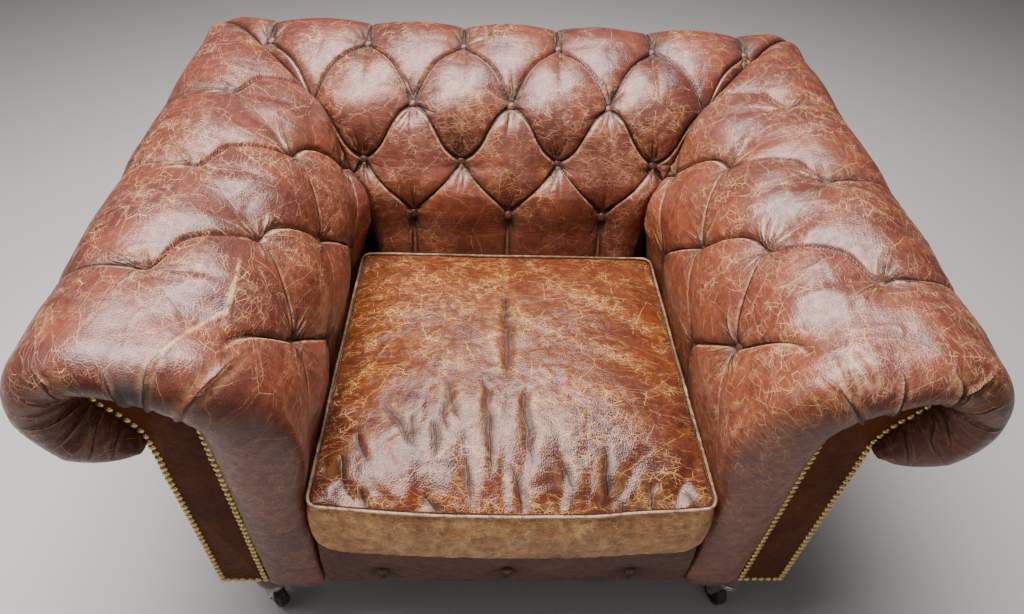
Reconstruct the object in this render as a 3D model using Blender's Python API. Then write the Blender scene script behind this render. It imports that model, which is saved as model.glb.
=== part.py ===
"""A buttoned leather club chair, modelled piece by piece.

Metres, +Z up, the chair faces -Y.  The origin is on the floor, under the middle of the chair.
The arms and the back share one way of working.  A section is drawn in (u, z), where u runs
outwards from the line of the buttons, and it is swept along the arm or the back.  A row number
rho runs up the section: 0 is the foot of the pad, 1 to 4 are the rows of buttons, and from 4
to 8 the section goes over the roll to its underside.
"""
import math

import bmesh
import bpy
import numpy as np
from mathutils import Matrix, Vector

# Seat and arms, between the lines of the buttons
SEAT_HALF_WIDTH = 0.295
SEAT_DEPTH = 0.582
FACING_FRONT_Y = -0.4195
FIT_GAP = 0.0003

# Sections of the arm at its front and of the back, as (u, z) at button level:
# the foot, the level of the deck, and the three lower rows of buttons
PAD_FOOT_Z = 0.173
ARM_ROWS = ((0.000, PAD_FOOT_Z), (0.000, 0.325), (-0.006, 0.490), (0.006, 0.602), (0.060, 0.680))
BACK_ROWS = ((-0.044, PAD_FOOT_Z), (-0.052, 0.345), (-0.035, 0.502), (0.006, 0.590), (0.056, 0.673))
ROW_KNOTS = (0.0, 0.5, 1.0, 2.0, 3.0)
ARM_ROLL_CENTRE = (0.177, 0.635)
BACK_ROLL_CENTRE = (0.195, 0.649)
ROLL_RADIUS = 0.107
ARM_ROLL_END_Z = 0.545
BACK_ROLL_END_Z = 0.560
TOP_ROW = 4
ROLL_END_ROW = 8

# Buttons and the pillows between them
ARM_FIRST_BUTTON = 0.122
ARM_HALF_PITCH = 0.1065
BACK_HALF_PITCH = 0.0875
PILLOW_RISE = 0.027
PLEAT_RISE = 0.012
PLEAT_SAG = 0.14
SEAM_ROUNDING = 0.040
SEAM_LEAN = 0.85
LOWER_BACK_SWELL = 0.008
BUTTON_RADIUS = 0.0105
BUTTON_RISE = 0.005
BUTTON_SUNK = 0.007
BORDER_BUTTON_X = 0.197
BORDER_BUTTON_Z = 0.208

# Facing boards on the arm fronts, and the leather that swells round them
FACING_THICKNESS = 0.008
FACING_INNER_U = 0.084
FACING_OUTER_U = 0.1625
ROLL_FRONT_SWELL = 0.046
WRAP_FRONT_SWELL = 0.034
FOLD_DEPTH = 0.007
LIP_THICKNESS = 0.006
LIP_RISE = 0.020

# Wooden frame
BOARD = 0.025
RAIL_HEIGHT = 0.100
RAIL_BOTTOM_Z = PAD_FOOT_Z + 0.003
RAIL_TOP_Z = RAIL_BOTTOM_Z + RAIL_HEIGHT
STUMP_THICKNESS = 0.024
PANEL_THICKNESS = 0.005
REAR_POST = 0.045
TOP_RAIL_THICKNESS = 0.022
TOP_RAIL_INNER_U = 0.095
TOP_RAIL_OUTER_U = 0.158
ARM_TOP_RAIL_Z = 0.600
TACK_RAIL_HEIGHT = 0.040
TACK_RAIL_THICKNESS = 0.022
HOLLOW_U = 0.040
UPRIGHT_WIDTH = 0.045
UPRIGHT_THICKNESS = 0.022
ARM_UPRIGHT_D = 0.380
BACK_UPRIGHT_X = 0.075
CORNER_BLOCK = 0.070
CORNER_BLOCK_HEIGHT = 0.060

# Seat
STRAP_WIDTH = 0.050
STRAP_THICKNESS = 0.002
STRAP_SPACING = 0.150
DECK_TOP_Z = 0.3245
DECK_BACK_CLEARANCE = 0.070
CUSHION_SIDE_CLEARANCE = 0.026
CUSHION_BACK_CLEARANCE = 0.084
CUSHION_HALF_WIDTH = SEAT_HALF_WIDTH - CUSHION_SIDE_CLEARANCE
CUSHION_BACK_TAPER = 0.007
CUSHION_FRONT_D = -0.020
CUSHION_BACK_D = SEAT_DEPTH - CUSHION_BACK_CLEARANCE
CUSHION_HEIGHT = 0.112
CUSHION_CROWN = 0.022
CUSHION_CORNER = 0.024
CUSHION_SIDE_SWELL = 0.006
WELT_RADIUS = 0.004
BORDER_HALF_WIDTH = SEAT_HALF_WIDTH - 0.011
BORDER_SWELL = 0.010
COVER_THICKNESS = 0.002

# Feet and casters
FRONT_FOOT_INSET = 0.0625
FRONT_FOOT_X = SEAT_HALF_WIDTH + FACING_OUTER_U - FRONT_FOOT_INSET
FRONT_FOOT_D = 0.036
FOOT_RADIUS = 0.028
FOOT_BOTTOM_Z = 0.105
REAR_LEG_INSET = 0.0575
REAR_LEG_X = SEAT_HALF_WIDTH + FACING_OUTER_U - REAR_LEG_INSET
REAR_LEG_D = SEAT_DEPTH + 0.108
REAR_LEG_TOP = 0.046
REAR_LEG_TOE = 0.030
REAR_LEG_RAKE = 0.030
WHEEL_RADIUS = 0.028
WHEEL_WIDTH = 0.018
WHEEL_SEGMENTS = 20
CASTER_TRAIL = 0.015
CHEEK_GAP = 0.001
CHEEK_THICKNESS = 0.0025
FORK_PLATE_RADIUS = 0.020
FORK_PLATE_THICKNESS = 0.004
SOCKET_THICKNESS = 0.006
KINGPIN_RADIUS = 0.0045
AXLE_RADIUS = 0.003
PIN_CLEARANCE = 0.0004
CASTER_TURN = {"left": 50.0, "right": 15.0}

SIDES = (("left", -1), ("right", 1))

# Colour, roughness and metallic value of each finish
FINISHES = {
    "leather": ((0.125, 0.040, 0.024), 0.42, 0.0),
    "cushion_leather": ((0.150, 0.055, 0.028), 0.38, 0.0),
    "facing_leather": ((0.090, 0.034, 0.020), 0.50, 0.0),
    "welt_leather": ((0.230, 0.150, 0.100), 0.60, 0.0),
    "beech": ((0.480, 0.330, 0.190), 0.70, 0.0),
    "dark_wood": ((0.090, 0.035, 0.020), 0.40, 0.0),
    "webbing": ((0.300, 0.220, 0.120), 0.90, 0.0),
    "deck_cloth": ((0.060, 0.045, 0.035), 0.90, 0.0),
    "cover_cloth": ((0.015, 0.015, 0.015), 0.95, 0.0),
    "steel": ((0.450, 0.440, 0.420), 0.30, 1.0),
    "tread": ((0.030, 0.028, 0.026), 0.55, 0.0),
}


def clear_scene():
    """Remove every object that the file starts with."""
    for item in list(bpy.data.objects):
        bpy.data.objects.remove(item, do_unlink=True)


def finish(name):
    """Return the material of a named finish, made once."""
    material = bpy.data.materials.get(name)
    if material is None:
        colour, roughness, metallic = FINISHES[name]
        material = bpy.data.materials.new(name)
        material.use_nodes = True
        shader = material.node_tree.nodes["Principled BSDF"]
        shader.inputs["Base Color"].default_value = (*colour, 1.0)
        shader.inputs["Roughness"].default_value = roughness
        shader.inputs["Metallic"].default_value = metallic
        material.diffuse_color = (*colour, 1.0)
    return material


def add_object(name, bm, finish_name, smooth=False):
    """Turn a bmesh into a named object with its finish."""
    bmesh.ops.recalc_face_normals(bm, faces=bm.faces)
    mesh = bpy.data.meshes.new(name)
    bm.to_mesh(mesh)
    bm.free()
    mesh.materials.append(finish(finish_name))
    if smooth:
        mesh.shade_smooth()
        mesh.set_sharp_from_angle(angle=math.radians(40))
    item = bpy.data.objects.new(name, mesh)
    bpy.context.scene.collection.objects.link(item)
    return item


def make_guide(item):
    """Mark an object as a cutter or an adder, which isn't a piece of the chair."""
    item.hide_render = True
    item.display_type = "WIRE"


def add_boolean(item, other, operation):
    """Cut or join one object with a guide."""
    make_guide(other)
    modifier = item.modifiers.new(operation.lower(), "BOOLEAN")
    modifier.operation = operation
    modifier.solver = "EXACT"
    modifier.object = other


def loft(loops):
    """Skin closed loops of equal length, with a face at each end."""
    bm = bmesh.new()
    rings = [[bm.verts.new(point) for point in loop] for loop in loops]
    count = len(rings[0])
    for lower, upper in zip(rings, rings[1:]):
        for i in range(count):
            j = (i + 1) % count
            bm.faces.new((lower[i], lower[j], upper[j], upper[i]))
    bm.faces.new(rings[0][::-1])
    bm.faces.new(rings[-1])
    return bm


def ring(radius, z, segments, centre=(0.0, 0.0)):
    """Points of a level circle, with a flat towards -Y and +Y."""
    step = 2.0 * math.pi / segments
    return [
        Vector((centre[0] + radius * math.cos((i + 0.5) * step),
                centre[1] + radius * math.sin((i + 0.5) * step), z))
        for i in range(segments)
    ]


def turned(profile, segments):
    """A turned solid, from (radius, z) pairs that run upwards."""
    return loft([ring(radius, z, segments) for radius, z in profile])


def box(name, low, high, finish_name):
    """A board between two corners."""
    bm = bmesh.new()
    bmesh.ops.create_cube(bm, size=1.0)
    size = [b - a for a, b in zip(low, high)]
    middle = [(a + b) / 2 for a, b in zip(low, high)]
    bmesh.ops.scale(bm, vec=size, verts=bm.verts)
    bmesh.ops.translate(bm, vec=middle, verts=bm.verts)
    return add_object(name, bm, finish_name)


def extrude_outline(points, direction):
    """A flat outline pushed along a direction."""
    return loft([points, [point + direction for point in points]])


def smooth_curve(knots, points, value):
    """Read a smooth curve through points at their knots."""
    index = int(np.clip(np.searchsorted(knots, value, side="right") - 1, 0, len(knots) - 2))
    slopes = []
    for k in (index, index + 1):
        before = max(k - 1, 0)
        after = min(k + 1, len(knots) - 1)
        slopes.append((points[after] - points[before]) / (knots[after] - knots[before]))
    span = knots[index + 1] - knots[index]
    t = (value - knots[index]) / span
    start = (2 * t ** 3 - 3 * t ** 2 + 1) * points[index]
    start_slope = (t ** 3 - 2 * t ** 2 + t) * span * slopes[0]
    end = (3 * t ** 2 - 2 * t ** 3) * points[index + 1]
    end_slope = (t ** 3 - t ** 2) * span * slopes[1]
    return start + start_slope + end + end_slope


def pillow_rise(rho):
    """How far the pillows stand above the buttons at a row number."""
    rows = (0.0, 0.5, 0.85, 1.0, 1.3, 3.5, 4.0, 5.0, 6.5, 7.5, 8.0)
    share = (0.10, 0.20, 0.35, 0.75, 1.00, 1.00, 0.80, 0.45, 0.30, 0.20, 0.0)
    return PILLOW_RISE * float(np.interp(rho, rows, share))


def section_knots(rows, centre, end_z):
    """Knots and points of a section at button level, from its rows and its roll."""
    knots = list(ROW_KNOTS)
    points = list(rows)
    end_u = FACING_OUTER_U + FIT_GAP
    end_angle = math.atan2(end_z - centre[1], end_u - centre[0])
    end_reach = math.hypot(end_z - centre[1], end_u - centre[0])
    start_angle = math.radians(108)
    steps = 12
    for i in range(steps + 1):
        rho = TOP_ROW + (ROLL_END_ROW - TOP_ROW) * i / steps
        angle = start_angle + (end_angle - start_angle) * i / steps
        reach = ROLL_RADIUS - pillow_rise(rho)
        ease = max(0.0, (rho - 6.5) / 1.5) ** 2
        reach += (end_reach - reach) * ease
        knots.append(rho)
        points.append((centre[0] + reach * math.cos(angle), centre[1] + reach * math.sin(angle)))
    return np.array(knots), np.array(points)


ARM_KNOTS, ARM_POINTS = section_knots(ARM_ROWS, ARM_ROLL_CENTRE, ARM_ROLL_END_Z)
BACK_KNOTS, BACK_POINTS = section_knots(BACK_ROWS, BACK_ROLL_CENTRE, BACK_ROLL_END_Z)

OUTLINE_KNOTS = np.array([0.0, 1.0, 2.0, 3.0, 4.0, 5.0, 6.0, 7.0, 8.0])


def facing_edge(rho):
    """The edge of the facing board, beside which the leather is tucked."""
    u, z = ARM_ROLL_CENTRE
    inner = FACING_INNER_U
    points = np.array([
        (inner, PAD_FOOT_Z), (inner, 0.450), (inner, 0.572), (inner + 0.011, 0.626),
        (u - 0.045, z + 0.027), (u + 0.001, z + 0.038), (u + 0.030, z + 0.016),
        (u + 0.014, z - 0.024), (FACING_OUTER_U + FIT_GAP, ARM_ROLL_END_Z + LIP_RISE),
    ])
    return smooth_curve(OUTLINE_KNOTS, points, rho)


def hollow_edge(rho, share):
    """The inside of the pads, where the frame goes, from the arm front to the back."""
    end_u = FACING_OUTER_U + FIT_GAP
    result = np.zeros(2)
    for part, (u, z), end_z in (
        (1.0 - share, ARM_ROLL_CENTRE, ARM_ROLL_END_Z),
        (share, BACK_ROLL_CENTRE, BACK_ROLL_END_Z),
    ):
        points = np.array([
            (HOLLOW_U, PAD_FOOT_Z), (HOLLOW_U, 0.450), (HOLLOW_U + 0.008, 0.570),
            (u - 0.092, z + 0.010), (u - 0.040, z + 0.047), (u + 0.026, z + 0.050),
            (u + 0.054, z + 0.006), (u + 0.034, z - 0.042), (end_u, end_z + LIP_THICKNESS),
        ])
        result += part * smooth_curve(OUTLINE_KNOTS, points, rho)
    return result


def section_point(rho, share):
    """A point of the section at button level; share is 0 at the arm front and 1 at the back."""
    front = smooth_curve(ARM_KNOTS, ARM_POINTS, rho)
    rear = smooth_curve(BACK_KNOTS, BACK_POINTS, rho)
    return (1.0 - share) * front + share * rear


def section_normal(rho, share):
    """The direction that faces out of the leather."""
    step = 0.02
    after = section_point(min(rho + step, ROLL_END_ROW), share)
    before = section_point(max(rho - step, 0.0), share)
    run = after - before
    run /= np.linalg.norm(run)
    return np.array((-run[1], run[0]))


def tuft_height(rho, column):
    """Height of the leather above the buttons, on a diamond pattern of rows and columns.

    A button lies where the row and the column add up to an even number.  The pleats join
    neighbouring buttons, and they sag a little between them.
    """
    inside = min(max(rho, 1.0), float(TOP_ROW))
    sag = PLEAT_SAG * math.sin(math.pi * column) ** 2 * math.sin(math.pi * (inside - 1.0) / 3.0)
    row = min(max(inside + sag, 1.0), float(TOP_ROW))
    rising = abs(math.sin(math.pi * (row + column) / 2))
    falling = abs(math.sin(math.pi * (row - column) / 2))
    pleat = PLEAT_RISE / PILLOW_RISE
    height = pleat * max(rising, falling) ** 0.8 + (1.0 - pleat) * (rising * falling) ** 0.6
    return pillow_rise(rho) * height


def at_seam(height, distance, normal):
    """Height of a pillow near the corner seam, where it falls to nothing on its own side."""
    share = min(max(distance / SEAM_ROUNDING, 0.0), 1.0)
    height *= math.sin(share * math.pi / 2) ** 0.7
    if normal[0] < 0.0:
        height = min(height, SEAM_LEAN * distance / -normal[0])
    return height


def row_numbers(first):
    """Row numbers of the mesh, closer together where the buttons are."""
    rows = [first]
    rows += [value for value in (0.22, 0.52, 0.76) if value > first]
    rows += [1.0 + i / 4 for i in range(12)]
    rows += [TOP_ROW + i / 4 for i in range(17)]
    return rows


def corner_match(rho):
    """How far an arm takes the back's section at the corner; under the cushion it keeps its own."""
    return float(np.interp(rho, (0.6, 1.0), (0.0, 1.0)))


def arm_seam(rho):
    """Distance behind the facing at which an arm's leather meets the corner seam."""
    return SEAT_DEPTH + section_point(rho, corner_match(rho))[0]


def arm_share(rho, d):
    """How much of the back's section an arm has at a distance; low down it turns in late."""
    lateness = float(np.interp(rho, (1.0, 3.0), (6.0, 1.0)))
    share = min(max(d / arm_seam(rho), 0.0), 1.0)
    return corner_match(rho) * share ** lateness


def arm_column(d):
    """Column number at a distance behind the facing."""
    return (d - ARM_FIRST_BUTTON) / ARM_HALF_PITCH


def arm_surface(rho, d, seam_d):
    """A point (u, z) on the leather of an arm."""
    share = arm_share(rho, d)
    column = arm_column(d)
    height = tuft_height(rho, column)
    plain = 0.85 * pillow_rise(rho)
    blend = min(max((column + 0.95) / 0.55, 0.0), 1.0)
    height = plain + (height - plain) * blend
    normal = section_normal(rho, share)
    return section_point(rho, share) + at_seam(height, seam_d - d, normal) * normal


def arm_front(rho, edge, skin):
    """Points of the leather that swells over the arm front, from the facing to the skin."""
    swell = float(np.interp(rho, (2.0, 3.2, 7.0, 8.0),
                            (WRAP_FRONT_SWELL, ROLL_FRONT_SWELL, ROLL_FRONT_SWELL, 0.020)))
    fold = FOLD_DEPTH * abs(math.cos(2 * math.pi * rho)) if 3.0 < rho < 7.9 else 0.0
    points = []
    segments = 5
    for i in range(segments):
        angle = math.pi * i / segments
        share = (1.0 - math.cos(angle)) / 2
        depth = (swell - fold * math.cos(angle / 2)) * math.sin(angle)
        u, z = edge + share * (skin - edge)
        points.append((u, -depth, z))
    return points


def arm_loop(rho):
    """One row of an arm pad, as a closed loop of (u, d, z)."""
    seam_d = arm_seam(rho) - FIT_GAP
    nominal = SEAT_DEPTH + ARM_ROLL_CENTRE[0]
    straight = 0.40
    steps = [ARM_FIRST_BUTTON * i / 5 for i in range(5)]
    pitch = ARM_HALF_PITCH / 4
    count = int(round((nominal - ARM_FIRST_BUTTON) / pitch))
    steps += [ARM_FIRST_BUTTON + (nominal - ARM_FIRST_BUTTON) * i / count for i in range(count + 1)]
    skin = []
    for step in steps:
        d = step
        if step > straight:
            d = straight + (step - straight) * (seam_d - straight) / (nominal - straight)
        u, z = arm_surface(rho, d, seam_d)
        skin.append((u, d, z))
    edge = facing_edge(rho)
    front = arm_front(rho, edge, np.array((skin[0][0], skin[0][2])))
    hollow_front = hollow_edge(rho, 0.0)
    hollow_back = hollow_edge(rho, 1.0)
    back_d = SEAT_DEPTH + hollow_back[0] - FIT_GAP
    return (
        [(edge[0], FACING_THICKNESS, edge[1])]
        + front
        + skin
        + [(hollow_back[0], back_d, hollow_back[1])]
        + [(hollow_front[0], FACING_THICKNESS, hollow_front[1])]
    )


def edge_normal(curve, rho):
    """The outward direction of a curve of the section."""
    step = 0.02
    run = curve(min(rho + step, ROLL_END_ROW)) - curve(max(rho - step, 0.0))
    run = run / np.linalg.norm(run)
    return np.array((-run[1], run[0]))


def arm_place(side, u, d, z):
    """From the arm's own (u, d, z) to the chair."""
    return Vector((side * (SEAT_HALF_WIDTH + u), FACING_FRONT_Y + d, z))


def back_place(x, u, z):
    """From the back's own (x, u, z) to the chair."""
    return Vector((x, FACING_FRONT_Y + SEAT_DEPTH + u, z))


def button(bm, place, normal):
    """Add one covered button, a low dome whose shank is sunk in the leather."""
    segments = 8
    turn = Vector((0, 0, 1)).rotation_difference(normal).to_matrix().to_4x4()
    turn = Matrix.Translation(place) @ turn
    profile = ((BUTTON_RADIUS * 0.8, -BUTTON_SUNK), (BUTTON_RADIUS, BUTTON_RISE * 0.35),
               (BUTTON_RADIUS * 0.55, BUTTON_RISE))
    rings = []
    for radius, z in profile:
        rings.append([bm.verts.new(turn @ point) for point in ring(radius, z, segments)])
    for lower, upper in zip(rings, rings[1:]):
        for i in range(segments):
            j = (i + 1) % segments
            bm.faces.new((lower[i], lower[j], upper[j], upper[i]))
    bm.faces.new(rings[0][::-1])
    bm.faces.new(rings[-1])


def arm_button_places():
    """Row and distance of each button of an arm that is clear of the corner seam."""
    places = []
    for row in range(1, TOP_ROW + 1):
        column = row % 2
        while ARM_FIRST_BUTTON + column * ARM_HALF_PITCH < arm_seam(row) - SEAM_ROUNDING / 2:
            places.append((row, ARM_FIRST_BUTTON + column * ARM_HALF_PITCH))
            column += 2
    return places


def build_arm_pad(name, side):
    """Tufted inside of an arm with its roll and the leather that wraps its front."""
    loops = [[arm_place(side, *point) for point in arm_loop(rho)] for rho in row_numbers(0.0)]
    pad = add_object(name, loft(loops), "leather", smooth=True)
    rear = FACING_FRONT_Y + SEAT_DEPTH + 0.2
    half = SEAT_HALF_WIDTH + 0.2
    cutter = box(name + "_rail_cutter",
                 (min(side * 0.1, side * half), FACING_FRONT_Y + wrap_back_d(), 0.1),
                 (max(side * 0.1, side * half), rear, pad_bottom_z()), "beech")
    add_boolean(pad, cutter, "DIFFERENCE")
    bm = bmesh.new()
    for row, d in arm_button_places():
        share = arm_share(row, d)
        u, z = section_point(row, share)
        n_u, n_z = section_normal(row, share)
        button(bm, arm_place(side, u, d, z), Vector((side * n_u, 0.0, n_z)))
    add_boolean(pad, add_object(name + "_buttons", bm, "leather"), "UNION")
    return pad


def wrap_back_d():
    """Back of the leather wrap and of the stump, where the front rail begins."""
    return FACING_THICKNESS + FIT_GAP + STUMP_THICKNESS


def pad_bottom_z():
    """Underside of the pads, above the webbing."""
    return RAIL_TOP_Z + 2 * STRAP_THICKNESS + 3 * FIT_GAP


def back_surface(rho, x, seam_x):
    """A point (u, z) on the leather of the back."""
    column = x / BACK_HALF_PITCH + 1.0
    height = tuft_height(rho, column)
    if rho < 1.0:
        height += LOWER_BACK_SWELL * math.sin(math.pi * min(rho * 1.15, 1.0))
    normal = section_normal(rho, 1.0)
    return section_point(rho, 1.0) + at_seam(height, seam_x - abs(x), normal) * normal


def back_loop(rho):
    """One row of the back pad, as a closed loop of (x, u, z)."""
    seam_x = SEAT_HALF_WIDTH + section_point(rho, 1.0)[0] - FIT_GAP
    nominal = SEAT_HALF_WIDTH + BACK_ROLL_CENTRE[0]
    straight = 2 * BACK_HALF_PITCH
    pitch = BACK_HALF_PITCH / 4
    count = int(round(nominal / pitch))
    skin = []
    for i in range(-count, count + 1):
        step = nominal * i / count
        x = step
        if abs(step) > straight:
            share = (abs(step) - straight) / (nominal - straight)
            x = math.copysign(straight + share * (seam_x - straight), step)
        u, z = back_surface(rho, x, seam_x)
        skin.append((x, u, z))
    u, z = hollow_edge(rho, 1.0)
    end_x = SEAT_HALF_WIDTH + u - FIT_GAP
    return skin + [(end_x, u, z), (-end_x, u, z)]


def back_button_places():
    """Row and x of each button of the back that is clear of the corner seams."""
    places = []
    for row in range(1, TOP_ROW + 1):
        seam_x = SEAT_HALF_WIDTH + section_point(row, 1.0)[0]
        for column in range(-6, 7):
            x = column * BACK_HALF_PITCH
            if (row + column) % 2 == 1 and abs(x) < seam_x - SEAM_ROUNDING / 2:
                places.append((row, x))
    return places


def build_back_pad():
    """Tufted inside of the back with its roll."""
    foot = ROW_KNOTS[1] * (pad_bottom_z() - PAD_FOOT_Z) / (BACK_ROWS[1][1] - PAD_FOOT_Z)
    loops = [[back_place(*point) for point in back_loop(rho)] for rho in row_numbers(foot)]
    for point in loops[0]:
        point.z = pad_bottom_z()
    pad = add_object("inside_back", loft(loops), "leather", smooth=True)
    bm = bmesh.new()
    for row, x in back_button_places():
        u, z = section_point(row, 1.0)
        n_u, n_z = section_normal(row, 1.0)
        button(bm, back_place(x, u, z), Vector((0.0, n_u, n_z)))
    add_boolean(pad, add_object("inside_back_buttons", bm, "leather"), "UNION")
    return pad


def outline_of(curve, inset, side, d):
    """An upright outline inside a section curve, closed down its outer side."""
    outer_u = FACING_OUTER_U - inset
    points = []
    for rho in row_numbers(0.0)[:-1]:
        place = curve(rho) - inset * edge_normal(curve, rho)
        points.append(place)
    points[0][1] = PAD_FOOT_Z
    end_z = curve(ROLL_END_ROW)[1]
    points.append(np.array((outer_u, min(end_z, points[-1][1] - 0.002))))
    points.append(np.array((outer_u, PAD_FOOT_Z)))
    return [arm_place(side, u, d, z) for u, z in points]


def build_arm_boards(name, side):
    """Facing, stump and outside panel of one arm."""
    facing = outline_of(facing_edge, FIT_GAP, side, 0.0)
    bm = extrude_outline(facing, Vector((0.0, FACING_THICKNESS, 0.0)))
    add_object("facing_" + name, bm, "facing_leather")

    def hollow(rho):
        return hollow_edge(rho, 0.0)

    stump = outline_of(hollow, 2 * FIT_GAP + PANEL_THICKNESS, side, FACING_THICKNESS + FIT_GAP)
    for point in stump:
        point.z = max(point.z, RAIL_BOTTOM_Z)
    bm = extrude_outline(stump, Vector((0.0, STUMP_THICKNESS, 0.0)))
    add_object("front_stump_" + name, bm, "beech")

    inner_u = FACING_OUTER_U - PANEL_THICKNESS
    front_d = FACING_THICKNESS + FIT_GAP
    back_d = SEAT_DEPTH + inner_u - FIT_GAP
    top = LIP_THICKNESS / 2
    corners = ((front_d, PAD_FOOT_Z), (back_d, PAD_FOOT_Z), (back_d, BACK_ROLL_END_Z + top),
               (front_d, ARM_ROLL_END_Z + top))
    panel = [arm_place(side, inner_u, d, z) for d, z in corners]
    bm = extrude_outline(panel, Vector((side * PANEL_THICKNESS, 0.0, 0.0)))
    add_object("outside_arm_" + name, bm, "facing_leather")


def build_outside_back():
    """Plain panel over the back of the frame."""
    half = SEAT_HALF_WIDTH + FACING_OUTER_U
    front = back_place(0.0, FACING_OUTER_U - PANEL_THICKNESS, 0.0).y
    box("outside_back", (-half, front, PAD_FOOT_Z),
        (half, front + PANEL_THICKNESS, BACK_ROLL_END_Z + LIP_THICKNESS / 2), "facing_leather")


def arm_box(name, side, u_range, d_range, z_range, finish_name):
    """A board placed by the arm's own (u, d, z)."""
    ends = [arm_place(side, u, d, z) for u, d, z in zip(u_range, d_range, z_range)]
    low = [min(pair) for pair in zip(*ends)]
    high = [max(pair) for pair in zip(*ends)]
    return box(name, low, high, finish_name)


def build_seat_rails():
    """The four rails of the seat, and the blocks glued in their corners."""
    outer_u = FACING_OUTER_U - PANEL_THICKNESS - FIT_GAP
    half = SEAT_HALF_WIDTH + outer_u
    front = FACING_FRONT_Y + wrap_back_d() + FIT_GAP
    rear = FACING_FRONT_Y + SEAT_DEPTH + outer_u
    box("front_rail", (-half, front, RAIL_BOTTOM_Z), (half, front + BOARD, RAIL_TOP_Z), "beech")
    box("back_rail", (-half, rear - BOARD, RAIL_BOTTOM_Z), (half, rear, RAIL_TOP_Z), "beech")
    for name, side in SIDES:
        low_x = min(side * half, side * (half - BOARD))
        box("side_rail_" + name, (low_x, front + BOARD + FIT_GAP, RAIL_BOTTOM_Z),
            (low_x + BOARD, rear - BOARD - FIT_GAP, RAIL_TOP_Z), "beech")
    inner_x = half - BOARD - FIT_GAP
    for end, y, way in (("front", front + BOARD + FIT_GAP, 1), ("back", rear - BOARD - FIT_GAP, -1)):
        for name, side in SIDES:
            corner = Vector((side * inner_x, y, RAIL_BOTTOM_Z + 0.02))
            outline = [corner, corner + Vector((-side * CORNER_BLOCK, 0, 0)),
                       corner + Vector((0, way * CORNER_BLOCK, 0))]
            bm = extrude_outline(outline, Vector((0, 0, CORNER_BLOCK_HEIGHT)))
            add_object("corner_block_" + end + "_" + name, bm, "beech")


def build_upper_frame():
    """Posts, top rails, tack rails and uprights of the arms and the back."""
    floor_z = pad_bottom_z()
    rear_u = FACING_OUTER_U - PANEL_THICKNESS - 2 * FIT_GAP
    behind_stump = wrap_back_d() + FIT_GAP
    top = (ARM_TOP_RAIL_Z, ARM_TOP_RAIL_Z + TOP_RAIL_THICKNESS)
    under_top = ARM_TOP_RAIL_Z - FIT_GAP
    tack = (HOLLOW_U + FIT_GAP, HOLLOW_U + FIT_GAP + TACK_RAIL_THICKNESS)
    tack_z = (floor_z, floor_z + TACK_RAIL_HEIGHT)
    stand_z = RAIL_TOP_Z + FIT_GAP
    for name, side in SIDES:
        arm_box("rear_post_" + name, side, (rear_u - REAR_POST, rear_u),
                (SEAT_DEPTH + rear_u - REAR_POST, SEAT_DEPTH + rear_u), (stand_z, under_top), "beech")
        arm_box("arm_top_rail_" + name, side, (TOP_RAIL_INNER_U, TOP_RAIL_OUTER_U),
                (behind_stump, SEAT_DEPTH + rear_u), top, "beech")
        arm_box("arm_tack_rail_" + name, side, tack,
                (behind_stump, SEAT_DEPTH + tack[0] - FIT_GAP), tack_z, "beech")
        arm_box("arm_upright_" + name, side, (rear_u - UPRIGHT_THICKNESS, rear_u),
                (ARM_UPRIGHT_D, ARM_UPRIGHT_D + UPRIGHT_WIDTH), (stand_z, under_top), "beech")
    half = SEAT_HALF_WIDTH + tack[1]
    low = back_place(-half, tack[0], tack_z[0])
    high = back_place(half, tack[1], tack_z[1])
    box("back_tack_rail", low, high, "beech")
    back_top_z = top[1] + FIT_GAP
    half = SEAT_HALF_WIDTH + rear_u
    low = back_place(-half, TOP_RAIL_INNER_U, back_top_z)
    high = back_place(half, TOP_RAIL_OUTER_U, back_top_z + TOP_RAIL_THICKNESS)
    box("back_top_rail", low, high, "beech")
    for name, side in SIDES:
        x = side * BACK_UPRIGHT_X
        low = back_place(x - UPRIGHT_WIDTH / 2, rear_u - UPRIGHT_THICKNESS, stand_z)
        high = back_place(x + UPRIGHT_WIDTH / 2, rear_u, back_top_z - FIT_GAP)
        box("back_upright_" + name, low, high, "beech")


def build_webbing():
    """Three straps across the seat and three from front to back, laid over them."""
    half = SEAT_HALF_WIDTH + FACING_OUTER_U - PANEL_THICKNESS - FIT_GAP
    lower = RAIL_TOP_Z + FIT_GAP
    upper = lower + STRAP_THICKNESS + FIT_GAP
    front = FACING_FRONT_Y + wrap_back_d() + 0.004
    rear = FACING_FRONT_Y + SEAT_DEPTH + HOLLOW_U - FIT_GAP
    back_rail = FACING_FRONT_Y + SEAT_DEPTH + FACING_OUTER_U - PANEL_THICKNESS - BOARD
    middle = (FACING_FRONT_Y + wrap_back_d() + rear) / 2
    for i in range(3):
        y = middle + (i - 1) * STRAP_SPACING
        box(f"cross_strap_{i + 1}", (-half + BOARD * 0.4, y - STRAP_WIDTH / 2, lower),
            (half - BOARD * 0.4, y + STRAP_WIDTH / 2, lower + STRAP_THICKNESS), "webbing")
        x = (i - 1) * STRAP_SPACING
        box(f"long_strap_{i + 1}", (x - STRAP_WIDTH / 2, front, upper),
            (x + STRAP_WIDTH / 2, back_rail + BOARD * 0.5, upper + STRAP_THICKNESS), "webbing")


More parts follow.
